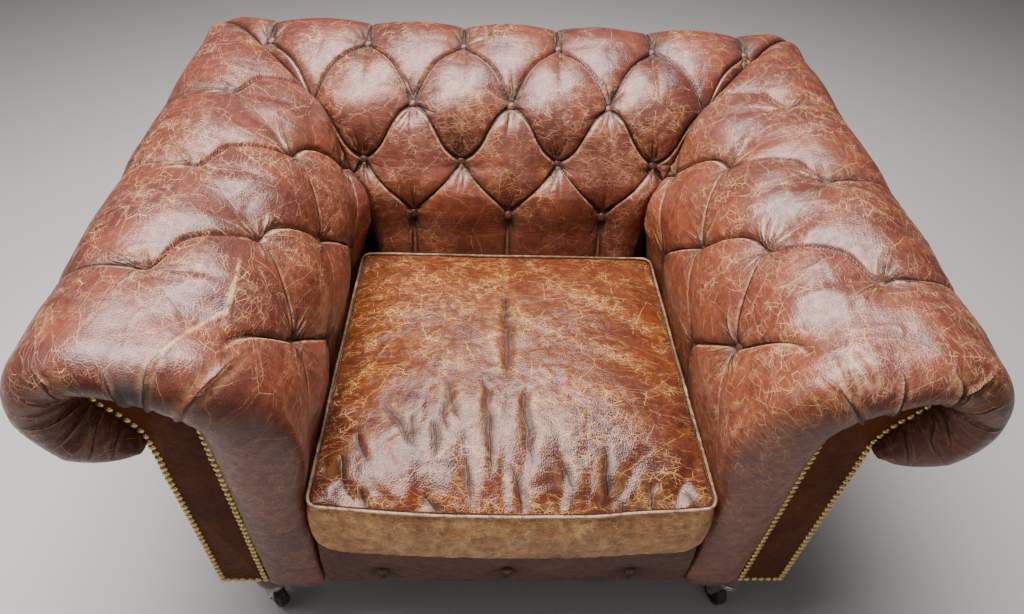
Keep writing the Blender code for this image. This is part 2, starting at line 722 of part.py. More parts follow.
def build_deck_and_cover():
    """The sprung deck under the cushion, and the dust cover under the frame."""
    half = SEAT_HALF_WIDTH - pillow_rise(0.52) - 0.002
    front = FACING_FRONT_Y + wrap_back_d() + FIT_GAP
    rear = FACING_FRONT_Y + SEAT_DEPTH - DECK_BACK_CLEARANCE
    deck = box("seat_deck", (-half, front, pad_bottom_z()), (half, rear, DECK_TOP_Z), "deck_cloth")
    add_bevel(deck, 0.006, 2)
    half = SEAT_HALF_WIDTH + FACING_OUTER_U - PANEL_THICKNESS - FIT_GAP
    rear = FACING_FRONT_Y + SEAT_DEPTH + FACING_OUTER_U - PANEL_THICKNESS - FIT_GAP
    top = RAIL_BOTTOM_Z - FIT_GAP
    box("dust_cover", (-half, front, top - COVER_THICKNESS), (half, rear, top), "cover_cloth")


def add_bevel(item, width, segments):
    """Ease the edges of a board."""
    modifier = item.modifiers.new("eased_edges", "BEVEL")
    modifier.width = width
    modifier.segments = segments
    modifier.limit_method = "ANGLE"
    modifier.angle_limit = math.radians(40)


def build_border():
    """Padded front border with its three buttons."""
    columns = 24
    rows = 6
    top_z = DECK_TOP_Z
    loops = []
    for i in range(columns + 1):
        x = -BORDER_HALF_WIDTH + 2 * BORDER_HALF_WIDTH * i / columns
        loop = []
        for j in range(rows + 1):
            z = PAD_FOOT_Z + (top_z - PAD_FOOT_Z) * j / rows
            height = BORDER_SWELL * math.sin(math.pi * (j + 0.6) / (rows + 1.2)) ** 0.6
            for button_x in (-BORDER_BUTTON_X, 0.0, BORDER_BUTTON_X):
                reach = math.hypot(x - button_x, z - BORDER_BUTTON_Z)
                height *= min(1.0, 0.25 + reach / 0.06)
            loop.append(Vector((x, FACING_FRONT_Y + FACING_THICKNESS - height, z)))
        loop.append(Vector((x, FACING_FRONT_Y + wrap_back_d(), top_z)))
        loop.append(Vector((x, FACING_FRONT_Y + wrap_back_d(), PAD_FOOT_Z)))
        loops.append(loop)
    border = add_object("front_border", loft(loops), "leather", smooth=True)
    bm = bmesh.new()
    for x in (-BORDER_BUTTON_X, 0.0, BORDER_BUTTON_X):
        place = Vector((x, FACING_FRONT_Y + FACING_THICKNESS - 0.004, BORDER_BUTTON_Z))
        button(bm, place, Vector((0.0, -1.0, 0.0)))
    add_boolean(border, add_object("front_border_buttons", bm, "leather"), "UNION")


def cushion_outline(inset, z):
    """A level outline of the cushion, a rectangle with round corners, narrower at the back."""
    half_x = CUSHION_HALF_WIDTH - inset
    half_y = (CUSHION_BACK_D - CUSHION_FRONT_D) / 2 - inset
    middle_y = FACING_FRONT_Y + (CUSHION_BACK_D + CUSHION_FRONT_D) / 2
    radius = max(CUSHION_CORNER - inset, 0.4 * CUSHION_CORNER)
    corner_steps = 4
    edge_steps = 7
    points = []
    for quarter in range(4):
        way_x = (1, -1, -1, 1)[quarter]
        way_y = (1, 1, -1, -1)[quarter]
        centre = Vector((way_x * (half_x - radius), way_y * (half_y - radius), 0.0))
        for i in range(corner_steps + 1):
            angle = math.pi / 2 * (quarter + i / corner_steps)
            points.append(centre + radius * Vector((math.cos(angle), math.sin(angle), 0.0)))
        following = Vector((-way_y * (half_x - radius), way_x * (half_y - radius), 0.0))
        start = points[-1]
        run = following - centre
        for i in range(1, edge_steps):
            points.append(start + run * i / edge_steps)
    for point in points:
        back_share = (point.y / half_y + 1) / 2
        point.x *= 1.0 - CUSHION_BACK_TAPER / CUSHION_HALF_WIDTH * back_share
        point.y += middle_y
        point.z = z
    return points


def build_cushion():
    """Loose seat cushion, boxed and crowned, and the welt round its top edge."""
    bottom = DECK_TOP_Z + FIT_GAP
    edge = bottom + CUSHION_HEIGHT
    loops = [cushion_outline(0.14, bottom), cushion_outline(0.010, bottom),
             cushion_outline(0.0, bottom + 0.014),
             cushion_outline(-CUSHION_SIDE_SWELL * 0.3, bottom + CUSHION_HEIGHT / 2),
             cushion_outline(0.0, edge)]
    for inset in (0.010, 0.035, 0.075, 0.130, 0.200):
        lift = CUSHION_CROWN * (1.0 - (1.0 - inset / 0.270) ** 3)
        loops.append(cushion_outline(inset, edge + lift))
    add_object("seat_cushion", loft(loops), "cushion_leather", smooth=True)
    sides = 5
    bm = bmesh.new()
    offset = WELT_RADIUS * 0.56 + FIT_GAP
    rings = []
    for i in range(sides):
        angle = 2 * math.pi * (i + 0.5) / sides
        reach = WELT_RADIUS * math.cos(angle)
        z = edge + offset + WELT_RADIUS * math.sin(angle)
        rings.append([bm.verts.new(p) for p in cushion_outline(-offset - reach, z)])
    count = len(rings[0])
    for i in range(sides):
        lower = rings[i]
        upper = rings[(i + 1) % sides]
        for j in range(count):
            k = (j + 1) % count
            bm.faces.new((lower[j], lower[k], upper[k], upper[j]))
    add_object("cushion_welt", bm, "welt_leather", smooth=True)


def build_front_foot(name, side):
    """Turned front foot."""
    top = RAIL_BOTTOM_Z - 2 * FIT_GAP - COVER_THICKNESS
    height = top - FOOT_BOTTOM_Z
    shape = ((0.68, 0.0), (0.86, 0.12), (1.0, 0.34), (0.96, 0.52), (0.78, 0.68), (0.74, 0.76),
             (0.90, 0.84), (0.90, 1.0))
    profile = [(FOOT_RADIUS * r, FOOT_BOTTOM_Z + height * h) for r, h in shape]
    bm = turned(profile, 16)
    bmesh.ops.translate(bm, vec=foot_place(side), verts=bm.verts)
    add_object("front_foot_" + name, bm, "dark_wood", smooth=True)


def foot_place(side):
    """The upright axis of a front foot."""
    return Vector((side * FRONT_FOOT_X, FACING_FRONT_Y + FRONT_FOOT_D, 0.0))


def build_rear_leg(name, side):
    """Square rear leg, tapered and raked to the back."""
    top = RAIL_BOTTOM_Z - 2 * FIT_GAP - COVER_THICKNESS
    loops = []
    for size, z, lean in ((REAR_LEG_TOE, 0.0, REAR_LEG_RAKE), (REAR_LEG_TOP, top, 0.0)):
        h = size / 2
        x = side * REAR_LEG_X
        y = FACING_FRONT_Y + REAR_LEG_D + lean
        loops.append([Vector((x - h, y - h, z)), Vector((x + h, y - h, z)),
                      Vector((x + h, y + h, z)), Vector((x - h, y + h, z))])
    leg = add_object("rear_leg_" + name, loft(loops), "dark_wood")
    add_bevel(leg, 0.002, 1)


def across(bm_points, x):
    """Turn level points into a loop that stands across the axle."""
    return [Vector((x, point.x, point.y)) for point in bm_points]


def axle_disc(radius, low_x, high_x, segments):
    """A disc on the wheel's axle, in the caster's own frame."""
    centre = (CASTER_TRAIL, WHEEL_RADIUS)
    points = ring(radius, 0.0, segments, centre)
    return loft([across(points, low_x), across(points, high_x)])


def build_caster(name, side):
    """Socket, fork, axle and wheel of one front caster."""
    turn = Matrix.Rotation(math.radians(CASTER_TURN[name]), 4, "Z")
    place = Matrix.Translation(foot_place(side)) @ turn
    socket_low = FOOT_BOTTOM_Z - FIT_GAP - SOCKET_THICKNESS
    plate_high = socket_low - FIT_GAP
    plate_low = plate_high - FORK_PLATE_THICKNESS
    head_high = plate_low - FIT_GAP
    profile = ((KINGPIN_RADIUS + 0.003, head_high - 0.003), (KINGPIN_RADIUS + 0.003, head_high),
               (KINGPIN_RADIUS, head_high), (KINGPIN_RADIUS, socket_low),
               (FORK_PLATE_RADIUS, socket_low), (FORK_PLATE_RADIUS, socket_low + 0.004),
               (FORK_PLATE_RADIUS - 0.003, socket_low + SOCKET_THICKNESS))
    bm = turned(profile, 12)
    bmesh.ops.transform(bm, matrix=place, verts=bm.verts)
    add_object("caster_socket_" + name, bm, "steel", smooth=True)

    bm = turned(((FORK_PLATE_RADIUS, plate_low), (FORK_PLATE_RADIUS, plate_high)), 20)
    fork = add_object("caster_fork_" + name, bm, "steel")
    inner_x = WHEEL_WIDTH / 2 + CHEEK_GAP
    for way, label in ((-1, "inner"), (1, "outer")):
        bm = cheek(way * inner_x, way * CHEEK_THICKNESS, plate_low + FORK_PLATE_THICKNESS / 2)
        guide = add_object("fork_" + name + "_" + label, bm, "steel")
        guide.parent = fork
        add_boolean(fork, guide, "UNION")
    bore = turned(((KINGPIN_RADIUS + PIN_CLEARANCE, plate_low - 0.01),
                   (KINGPIN_RADIUS + PIN_CLEARANCE, plate_high + 0.01)), 12)
    guide = add_object("fork_" + name + "_kingpin_bore", bore, "steel")
    guide.parent = fork
    add_boolean(fork, guide, "DIFFERENCE")
    bore = axle_disc(AXLE_RADIUS + PIN_CLEARANCE, -0.03, 0.03, 12)
    guide = add_object("fork_" + name + "_axle_bore", bore, "steel")
    guide.parent = fork
    add_boolean(fork, guide, "DIFFERENCE")
    fork.matrix_world = place

    build_axle(name, place, inner_x + CHEEK_THICKNESS)
    build_wheel(name, place)


def cheek(x, thickness, top_z):
    """One side plate of the fork, narrow at the axle."""
    eye = 0.0085
    points = [Vector((x, -0.012, top_z)), Vector((x, 0.013, top_z)),
              Vector((x, CASTER_TRAIL + eye, WHEEL_RADIUS + 0.010))]
    for i in range(7):
        angle = -math.pi * i / 6
        points.append(Vector((x, CASTER_TRAIL + eye * math.cos(angle),
                              WHEEL_RADIUS + eye * math.sin(angle))))
    points.append(Vector((x, CASTER_TRAIL - eye - 0.004, WHEEL_RADIUS + 0.014)))
    return extrude_outline(points, Vector((thickness, 0.0, 0.0)))


def build_axle(name, place, outer_x):
    """Axle pin with a head outside each cheek."""
    centre = (CASTER_TRAIL, WHEEL_RADIUS)
    head = AXLE_RADIUS + 0.002
    shape = ((head, -outer_x - 0.002), (head, -outer_x - FIT_GAP), (AXLE_RADIUS, -outer_x - FIT_GAP),
             (AXLE_RADIUS, outer_x + FIT_GAP), (head, outer_x + FIT_GAP), (head, outer_x + 0.002))
    bm = loft([across(ring(radius, 0.0, 12, centre), x) for radius, x in shape])
    bmesh.ops.transform(bm, matrix=place, verts=bm.verts)
    add_object("caster_axle_" + name, bm, "steel", smooth=True)


def build_wheel(name, place):
    """Caster wheel with a rounded tread and a bore for its axle."""
    centre = (CASTER_TRAIL, WHEEL_RADIUS)
    half = WHEEL_WIDTH / 2
    rim = WHEEL_RADIUS / math.cos(math.pi / WHEEL_SEGMENTS)
    shape = ((rim - 0.009, -half * 0.6), (rim - 0.007, -half), (rim - 0.002, -half),
             (rim, -half + 0.003), (rim, half - 0.003), (rim - 0.002, half),
             (rim - 0.007, half), (rim - 0.009, half * 0.6))
    bm = loft([across(ring(radius, 0.0, WHEEL_SEGMENTS, centre), x) for radius, x in shape])
    wheel = add_object("caster_wheel_" + name, bm, "tread", smooth=True)
    bore = axle_disc(AXLE_RADIUS + PIN_CLEARANCE, -0.03, 0.03, 12)
    guide = add_object("wheel_" + name + "_bore", bore, "tread")
    guide.parent = wheel
    add_boolean(wheel, guide, "DIFFERENCE")
    wheel.matrix_world = place


def build_chair():
    """Build every piece of the chair."""
    clear_scene()
    build_seat_rails()
    build_upper_frame()
    build_webbing()
    build_deck_and_cover()
    build_back_pad()
    build_outside_back()
    build_border()
    build_cushion()
    for name, side in SIDES:
        build_arm_pad("inside_arm_" + name, side)
        build_arm_boards(name, side)
        build_front_foot(name, side)
        build_rear_leg(name, side)
        build_caster(name, side)
    bpy.context.view_layer.update()


build_chair()
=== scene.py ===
"""Dresses the worn, deep-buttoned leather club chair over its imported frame.

Metres, +Z up, the chair faces -Y.  The tufted leather is swept from two sections in (u, z), where
u runs outwards from the line of the buttons.  A row number rho runs up the section: 0 is the foot
of the pad, 1 to 4 are the rows of buttons, and 4 to 8 go over the roll to its underside.
"""

import logging
import math
from dataclasses import dataclass, field
from enum import Enum

import bmesh
import bpy
import numpy as np
from mathutils import Matrix, Vector


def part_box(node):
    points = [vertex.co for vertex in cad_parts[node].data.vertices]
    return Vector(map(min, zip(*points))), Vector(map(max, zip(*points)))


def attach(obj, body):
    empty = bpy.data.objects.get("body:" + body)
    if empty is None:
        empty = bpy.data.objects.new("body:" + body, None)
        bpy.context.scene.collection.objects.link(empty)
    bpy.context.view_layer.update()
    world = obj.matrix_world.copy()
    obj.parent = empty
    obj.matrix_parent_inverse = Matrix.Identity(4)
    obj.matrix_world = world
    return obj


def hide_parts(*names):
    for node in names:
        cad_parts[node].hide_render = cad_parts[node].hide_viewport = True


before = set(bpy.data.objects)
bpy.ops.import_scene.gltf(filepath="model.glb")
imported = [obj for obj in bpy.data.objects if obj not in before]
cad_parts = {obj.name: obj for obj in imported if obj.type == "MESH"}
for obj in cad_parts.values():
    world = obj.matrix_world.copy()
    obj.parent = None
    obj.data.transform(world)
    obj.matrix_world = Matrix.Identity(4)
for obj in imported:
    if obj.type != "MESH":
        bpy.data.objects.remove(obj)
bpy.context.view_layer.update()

LOG = logging.getLogger("club_chair")
SIDES = (("left", -1), ("right", 1))
CHAIR_BODY = "chair"
RGB = tuple[float, float, float]
Socket = bpy.types.NodeSocket
Value = Socket | float | tuple
Pair = tuple[float, float]
Grid = np.ndarray
FIRST = slice(0, 1)
LAST = slice(-1, None)


class Slot(Enum):
    """The record's slots that the dressed pieces belong to."""

    TUFTED = "tufted_leather"
    CUSHION = "cushion_leather"
    WELT = "welt_leather"
    FACING = "facing_leather"
    WOOD = "dark_wood"


# ---- sizes ----


@dataclass(frozen=True)
class ChairSizes:
    """The sizes that the pieces share, the same as in the solid model."""

    seat_half_width: float = 0.295
    seat_depth: float = 0.582
    facing_front_y: float = -0.4195
    fit_gap: float = 0.0003
    foot_z: float = 0.173
    roll_radius: float = 0.107
    first_button: float = 0.122
    arm_pitch: float = 0.1065
    back_pitch: float = 0.0875
    pillow_rise: float = 0.027
    facing_thickness: float = 0.008
    facing_inner_u: float = 0.084
    facing_outer_u: float = 0.1625
    lip_thickness: float = 0.006
    lip_rise: float = 0.02
    arm_roll_end_z: float = 0.545
    back_roll_end_z: float = 0.56
    hollow_u: float = 0.04
    pad_bottom_z: float = 0.2809
    deck_top_z: float = 0.3245
    button_radius: float = 0.0092
    top_row: int = 4
    end_row: int = 8


SIZES = ChairSizes()


class Hermite:
    """A smooth curve through points at their knots, read for whole arrays."""

    def __init__(self, knots: Grid, points: Grid) -> None:
        """Keep the points and work out a slope at each.

        Args:
            knots: Rising parameter values.
            points: One point for each knot.
        """
        self.knots = np.asarray(knots, dtype=float)
        self.points = np.asarray(points, dtype=float)
        count = len(self.knots)
        after = np.minimum(np.arange(count) + 1, count - 1)
        before = np.maximum(np.arange(count) - 1, 0)
        span = (self.knots[after] - self.knots[before])[:, None]
        self.slopes = (self.points[after] - self.points[before]) / span

    def __call__(self, value: Grid) -> Grid:
        """Read the curve.

        Args:
            value: Parameter values, of any shape.

        Returns:
            The points, with one more axis than value.
        """
        value = np.asarray(value, dtype=float)
        found = np.searchsorted(self.knots, value, side="right") - 1
        i = np.clip(found, 0, len(self.knots) - 2)
        span = (self.knots[i + 1] - self.knots[i])[..., None]
        t = (value - self.knots[i])[..., None] / span
        start = (2 * t**3 - 3 * t**2 + 1) * self.points[i]
        start_slope = (t**3 - 2 * t**2 + t) * span * self.slopes[i]
        end = (3 * t**2 - 2 * t**3) * self.points[i + 1]
        end_slope = (t**3 - t**2) * span * self.slopes[i + 1]
        return start + start_slope + end + end_slope


def pillow_rise(rho: Grid) -> Grid:
    """How far the pillows stand above the buttons at each row number.

    Args:
        rho: Row numbers.

    Returns:
        Heights in metres.
    """
    rows = (0.0, 0.5, 0.85, 1.0, 1.3, 3.5, 4.0, 5.0, 6.5, 7.5, 8.0)
    share = (0.1, 0.2, 0.35, 0.75, 1.00, 1.00, 0.8, 0.45, 0.3, 0.2, 0.0)
    return SIZES.pillow_rise * np.interp(rho, rows, share)


class Section:
    """The section of the arm front, of the back, and what lies between them."""

    ROW_KNOTS = (0.0, 0.5, 1.0, 2.0, 3.0)
    ARM_ROWS = ((0.0, 0.173), (0.0, 0.325), (-0.006, 0.49), (0.006, 0.602), (0.06, 0.68))
    BACK_ROWS = ((-0.044, 0.173), (-0.052, 0.345), (-0.035, 0.502), (0.006, 0.59), (0.056, 0.673))
    ARM_CENTRE = (0.177, 0.635)
    BACK_CENTRE = (0.195, 0.649)

    def __init__(self) -> None:
        """Make the two curves."""
        self.arm = self._curve(self.ARM_ROWS, self.ARM_CENTRE, SIZES.arm_roll_end_z)
        self.back = self._curve(self.BACK_ROWS, self.BACK_CENTRE, SIZES.back_roll_end_z)
        self.facing = self._facing_curve()

    def _curve(self, rows: tuple, centre: tuple, end_z: float) -> Hermite:
        """One section at button level, from its rows and its roll.

        Args:
            rows: Points (u, z) of the foot and the rows below the roll.
            centre: Middle of the roll.
            end_z: Height at which the roll ends.

        Returns:
            The curve over the row numbers.
        """
        knots = list(self.ROW_KNOTS)
        points = list(rows)
        end_u = SIZES.facing_outer_u + SIZES.fit_gap
        end_angle = math.atan2(end_z - centre[1], end_u - centre[0])
        end_reach = math.hypot(end_z - centre[1], end_u - centre[0])
        start_angle = math.radians(108)
        steps = 12
        for i in range(steps + 1):
            rho = SIZES.top_row + (SIZES.end_row - SIZES.top_row) * i / steps
            angle = start_angle + (end_angle - start_angle) * i / steps
            reach = SIZES.roll_radius - float(pillow_rise(rho))
            reach += (end_reach - reach) * max(0.0, (rho - 6.5) / 1.5) ** 2
            knots.append(rho)
            points.append((centre[0] + reach * math.cos(angle), centre[1] + reach * math.sin(angle)))
        return Hermite(np.array(knots), np.array(points))

    def _facing_curve(self) -> Hermite:
        """The edge of the facing board, beside which the leather is tucked.

        Returns:
            The curve over the row numbers.
        """
        u, z = self.ARM_CENTRE
        inner = SIZES.facing_inner_u
        points = (
            (inner, SIZES.foot_z), (inner, 0.45), (inner, 0.572), (inner + 0.011, 0.626),
            (u - 0.045, z + 0.027), (u + 0.001, z + 0.038), (u + 0.03, z + 0.016),
            (u + 0.014, z - 0.024),
            (SIZES.facing_outer_u + SIZES.fit_gap, SIZES.arm_roll_end_z + SIZES.lip_rise),
        )
        return Hermite(np.arange(9.0), np.array(points))

    def hollow(self, rho: Grid, share: float) -> Grid:
        """The inside of a pad, where the wooden frame goes.

        Args:
            rho: Row numbers.
            share: 0 at the arm front and 1 at the back.

        Returns:
            Points (u, z).
        """
        end_u = SIZES.facing_outer_u + SIZES.fit_gap
        u0 = SIZES.hollow_u
        total = np.zeros((*np.shape(rho), 2))
        for part, (u, z), end_z in (
            (1.0 - share, self.ARM_CENTRE, SIZES.arm_roll_end_z),
            (share, self.BACK_CENTRE, SIZES.back_roll_end_z),
        ):
            points = (
                (u0, SIZES.foot_z), (u0, 0.45), (u0 + 0.008, 0.57), (u - 0.092, z + 0.01),
                (u - 0.04, z + 0.047), (u + 0.026, z + 0.05), (u + 0.054, z + 0.006),
                (u + 0.034, z - 0.042), (end_u, end_z + SIZES.lip_thickness),
            )
            total += part * Hermite(np.arange(9.0), np.array(points))(rho)
        return total

    def point(self, rho: Grid, share: Grid) -> Grid:
        """Points (u, z) of the section at button level.

        Args:
            rho: Row numbers.
            share: 0 at the arm front and 1 at the back.

        Returns:
            Points (u, z).
        """
        share = np.asarray(share)[..., None]
        return (1.0 - share) * self.arm(rho) + share * self.back(rho)

    def normal(self, rho: Grid, share: Grid) -> Grid:
        """Directions (u, z) that face out of the leather, for the same arguments as point."""
        step = 0.02
        after = self.point(np.minimum(rho + step, SIZES.end_row), share)
        before = self.point(np.maximum(rho - step, 0.0), share)
        run = after - before
        run /= np.linalg.norm(run, axis=-1, keepdims=True)
        return np.stack((-run[..., 1], run[..., 0]), axis=-1)

    def girth_of(self, row: float, share: float) -> float:
        """Distance along the section from its foot to one row number."""
        return float(self.girth(np.array(float(row)), share))

    def girth(self, rho: Grid, share: float) -> Grid:
        """Distance along the section from its foot to each row number."""
        fine = np.linspace(0.0, SIZES.end_row, 600)
        return np.interp(rho, fine, path_lengths(self.point(fine, np.full_like(fine, share))))


SECTION = Section()


# ---- surface detail that whole arrays share ----


def smoothstep(low: float, high: float, value: Grid) -> Grid:
    """A smooth step from 0 at low to 1 at high."""
    t = np.clip((value - low) / (high - low), 0.0, 1.0)
    return t * t * (3.0 - 2.0 * t)


class Ripple:
    """Smooth value noise on a plane, the same on each run."""

    def __init__(self, seed: int) -> None:
        """Draw the lattice of values.

        Args:
            seed: Number of the pattern.
        """
        self.values = np.random.default_rng(seed).random((64, 64))

    def __call__(self, x: Grid, y: Grid) -> Grid:
        """Read the noise.

        Args:
            x: Distance one way, in lattice cells.
            y: Distance the other way, in lattice cells.

        Returns:
            Values from -1 to 1.
        """
        xi = np.floor(x).astype(int)
        yi = np.floor(y).astype(int)
        fx = x - xi
        fy = y - yi
        fx = fx * fx * (3 - 2 * fx)
        fy = fy * fy * (3 - 2 * fy)
        a = self.values[xi % 64, yi % 64]
        b = self.values[(xi + 1) % 64, yi % 64]
        c = self.values[xi % 64, (yi + 1) % 64]
        d = self.values[(xi + 1) % 64, (yi + 1) % 64]
        return 2.0 * ((a * (1 - fx) + b * fx) * (1 - fy) + (c * (1 - fx) + d * fx) * fy) - 1.0

    def ridges(self, x: Grid, y: Grid) -> Grid:
        """Narrow ridges where the noise crosses zero, from 0 to 1."""
        return np.clip(1.0 - 5.0 * np.abs(self(x, y)), 0.0, 1.0) ** 1.5


@dataclass(frozen=True)
class Relief:
    """Heights of tufted leather, where its folds lie with the painted shade they get, and where its
    pleat lines run.
    """

    height: Grid
    fold: Grid
    pleat: Grid


@dataclass(frozen=True)
class PleatShape:
    """How deep the pleats and the button pits lie, and which way the pleats bend."""

    pleat_rise: float = 0.0135
    bend: float = 0.2
    arch: float = 0.0
    skew: float = 1.0
    calm_roll: float = 0.6
    second_set: float = 1.0
    second_low: float = 1.0
    roundness: float = 0.44
    pit_round: float = 0.6
    groove_depth: float = 0.004
    groove_width: float = 0.055
    split: float = 0.075

    def second_share(self, rho: Grid) -> Grid:
        """How strong the second set of pleats is at each row number."""
        low = 1.0 - smoothstep(2.3, 3.3, rho)
        return self.second_set + (self.second_low - self.second_set) * low

    def heights(self, rho: Grid, column: Grid) -> Relief:
        """Height of the leather above the buttons, on a diamond pattern.

        A button lies where the row and the column add up to an even number.

        Args:
            rho: Row numbers.
            column: Column numbers.

        Returns:
            The relief; its pleat holds the place in each set of pleats and their presence.
        """
        inside = np.clip(rho, 1.0, float(SIZES.top_row))
        between = np.sqrt(np.sin(math.pi * column) ** 2 + 0.01) - 0.1
        level = (inside - 1.0) / 3.0
        row = inside + self.bend * between * np.sin(2 * math.pi * level)
        arch = self.arch * between * smoothstep(0.1, 0.8, level) * smoothstep(0.0, 0.1, 1.0 - level)
        apart = self.split * smoothstep(0.0, 0.4, 1.0 - rho)
        first = (row + column - arch - apart) / 2
        second = (row - column - apart) / 2
        rising = np.abs(np.sin(math.pi * (first - np.floor(first)) ** self.skew))
        share = self.second_share(rho)
        blunt = 0.42 * (1.0 - share)
        falling = np.sqrt((np.sin(math.pi * second) ** 2 + blunt**2) / (1.0 + blunt**2))
        pleat = self.pleat_rise / SIZES.pillow_rise
        most = np.maximum(rising, falling)
        shape = pleat * most**self.pit_round + (1.0 - pleat) * (rising * falling) ** self.roundness
        calm = self.calm_roll * smoothstep(4.1, 5.6, rho)
        shape = shape + (1.0 - shape) * calm
        crisp = np.exp(-((rising / self.groove_width) ** 2))
        soft = share * np.exp(-((falling / self.groove_width) ** 2))
        groove = np.maximum(crisp, soft) * (1.0 - 0.7 * calm)
        present = np.clip(pillow_rise(rho) / SIZES.pillow_rise * 1.6, 0.0, 1.0)
        height = pillow_rise(rho) * shape - self.groove_depth * groove * present
        # Painted shade: the pits round the buttons and the pleat grooves are darkened through these
        # values.
        pit_shade = np.exp(-((most / 0.34) ** 2)) * (1.0 - calm)
        fold = np.clip(0.55 * groove + 0.9 * pit_shade, 0.0, 1.0) * present
        lines = present * (1.0 - smoothstep(4.3, 6.2, rho)) * smoothstep(0.0, 0.35, rho)
        return Relief(height, fold, np.stack((first, second, lines), axis=-1))


class Strokes:
    """The strongest fine crease near each place, which the finish draws as a thin dark line of painted
    shade.
    """

    def __init__(self, like: Grid) -> None:
        """Start with no crease, on a grid of the same shape."""
        self.off = np.full(np.shape(like), 0.05)
        self.strength = np.zeros(np.shape(like))

    def add(self, off: Grid, strength: Grid) -> None:
        """Keep a crease wherever it is stronger than those before.

        Args:
            off: Signed distance of each place from the crease.
            strength: How strong the crease is there, from 0 to 1.
        """
        felt = strength * np.exp(-((off / 0.0065) ** 2))
        stronger = felt > self.strength
        self.off = np.where(stronger, off, self.off)
        self.strength = np.where(stronger, felt, self.strength)

    def places(self) -> Grid:
        """The distances and strengths, as three numbers for each place."""
        return np.stack((self.off, self.strength, np.zeros_like(self.off)), axis=-1)


@dataclass(frozen=True)
class Puckers:
    """Creases that fan out from the buttons."""

    seed: int = 1
    count: int = 17
    depth: float = 0.0042
    width: float = 0.003
    reach: float = 0.074
    ways: tuple[float, ...] = (0.8, -2.3)
    spread: float = 0.75
    drawn: float = 0.95

    def press(self, x: Grid, s: Grid, buttons: list[Pair], strokes: Strokes) -> tuple[Grid, Grid]:
        """Depth of the creases round all the buttons.

        Args:
            x: Distance along the pad of each place.
            s: Distance up the section of each place.
            buttons: The same two distances for each button.
            strokes: Where the thin lines are kept.

        Returns:
            Depths in metres, and how much of a crease each place is; the callers paint shade from it.
        """
        draw = np.random.default_rng(self.seed)
        depth = np.zeros_like(x)
        for button_x, button_s in buttons:
            dx = x - button_x
            ds = s - button_s
            r = np.hypot(dx, ds)
            angle = np.arctan2(ds, dx)
            for number in range(self.count):
                way = self.ways[number % len(self.ways)] + draw.normal(0.0, self.spread)
                reach = self.reach * draw.uniform(0.4, 1.0)
                bend = draw.uniform(-7.0, 7.0)
                strength = self.depth * draw.uniform(0.3, 1.0)
                turn = (angle - way + bend * r + math.pi) % (2 * math.pi) - math.pi
                ahead = np.abs(turn) < 1.2
                line = np.exp(-((turn * r / self.width) ** 2)) * ahead
                fade = smoothstep(0.006, 0.016, r) * (1.0 - smoothstep(0.3 * reach, reach, r))
                depth = np.maximum(depth, strength * line * fade)
                strokes.add(turn * r, self.drawn * strength / self.depth * fade * ahead)
        return depth, depth / self.depth


@dataclass(frozen=True)
class Seam:
    """A crease along a line of places, such as a gather at the front of a roll; dark sets the painted
    shade in its groove, pale how much it is rubbed pale.
    """

    path: tuple[Pair, ...]
    depth: float = 0.005
    width: float = 0.0036
    dark: float = 0.8
    pale: float = 0.6

    def closeness(self, x: Grid, y: Grid) -> tuple[Grid, Grid]:
        """How near each place is to the line.

        Args:
            x: First distance of each place.
            y: Second distance of each place.

        Returns:
            The signed distance from the line, and how far along it that is, from 0 to 1.
        """
        steps = [math.dist(a, b) for a, b in zip(self.path, self.path[1:])]
        total = sum(steps)
        best = np.full(np.shape(x), 1e9)
        part = np.zeros(np.shape(x))
        done = 0.0
        for (ax, ay), (bx, by), length in zip(self.path, self.path[1:], steps):
            t = np.clip(((x - ax) * (bx - ax) + (y - ay) * (by - ay)) / length**2, 0.0, 1.0)
            off = np.hypot(x - ax - t * (bx - ax), y - ay - t * (by - ay))
            side = np.where((x - ax) * (by - ay) - (y - ay) * (bx - ax) < 0.0, -1.0, 1.0)
            part = np.where(off < np.abs(best), (done + t * length) / total, part)
            best = np.where(off < np.abs(best), off * side, best)
            done += length
        return best, part


# ---- meshes ----


class Ends(Enum):
    """What becomes of the first and last loops of a skin."""

    FILLED = "filled"
    JOINED = "joined"


def skin_mesh(
    name: str, rings: Grid, values: dict[str, Grid], ends: Ends = Ends.FILLED
) -> bpy.types.Object:
    """A smooth mesh of closed loops, with a value on each point for the finish.

    Args:
        name: Name of the piece.
        rings: Points, as loops by points by 3.
        values: Named numbers for the points, as loops by points.
        ends: Whether the first and last loops are filled or joined.

    Returns:
        The new object.
    """
    loops, count = rings.shape[:2]
    index = np.arange(loops * count).reshape(loops, count)
    lower = index if ends is Ends.JOINED else index[:-1]
    upper = np.roll(index, -1, axis=0)[: len(lower)]
    quads = np.stack((lower, np.roll(lower, -1, axis=1), np.roll(upper, -1, axis=1), upper), axis=-1)
    faces = quads.reshape(-1, 4).tolist()
    if ends is Ends.FILLED:
        faces += [index[0][::-1].tolist(), index[-1].tolist()]
    mesh = bpy.data.meshes.new(name)
    mesh.from_pydata(rings.reshape(-1, 3).tolist(), [], faces)
    for key, value in values.items():
        keep_values(mesh, key, value)
    return finish_mesh(name, mesh)


def directions_out(points: Grid) -> Grid:
    """Directions out of the leather at each point of a grid.

    Args:
        points: Points, as rows by columns by 3.

    Returns:
        Unit vectors.
    """
    out = np.cross(np.gradient(points, axis=1), np.gradient(points, axis=0))
    return out / np.maximum(np.linalg.norm(out, axis=-1, keepdims=True), 1e-12)


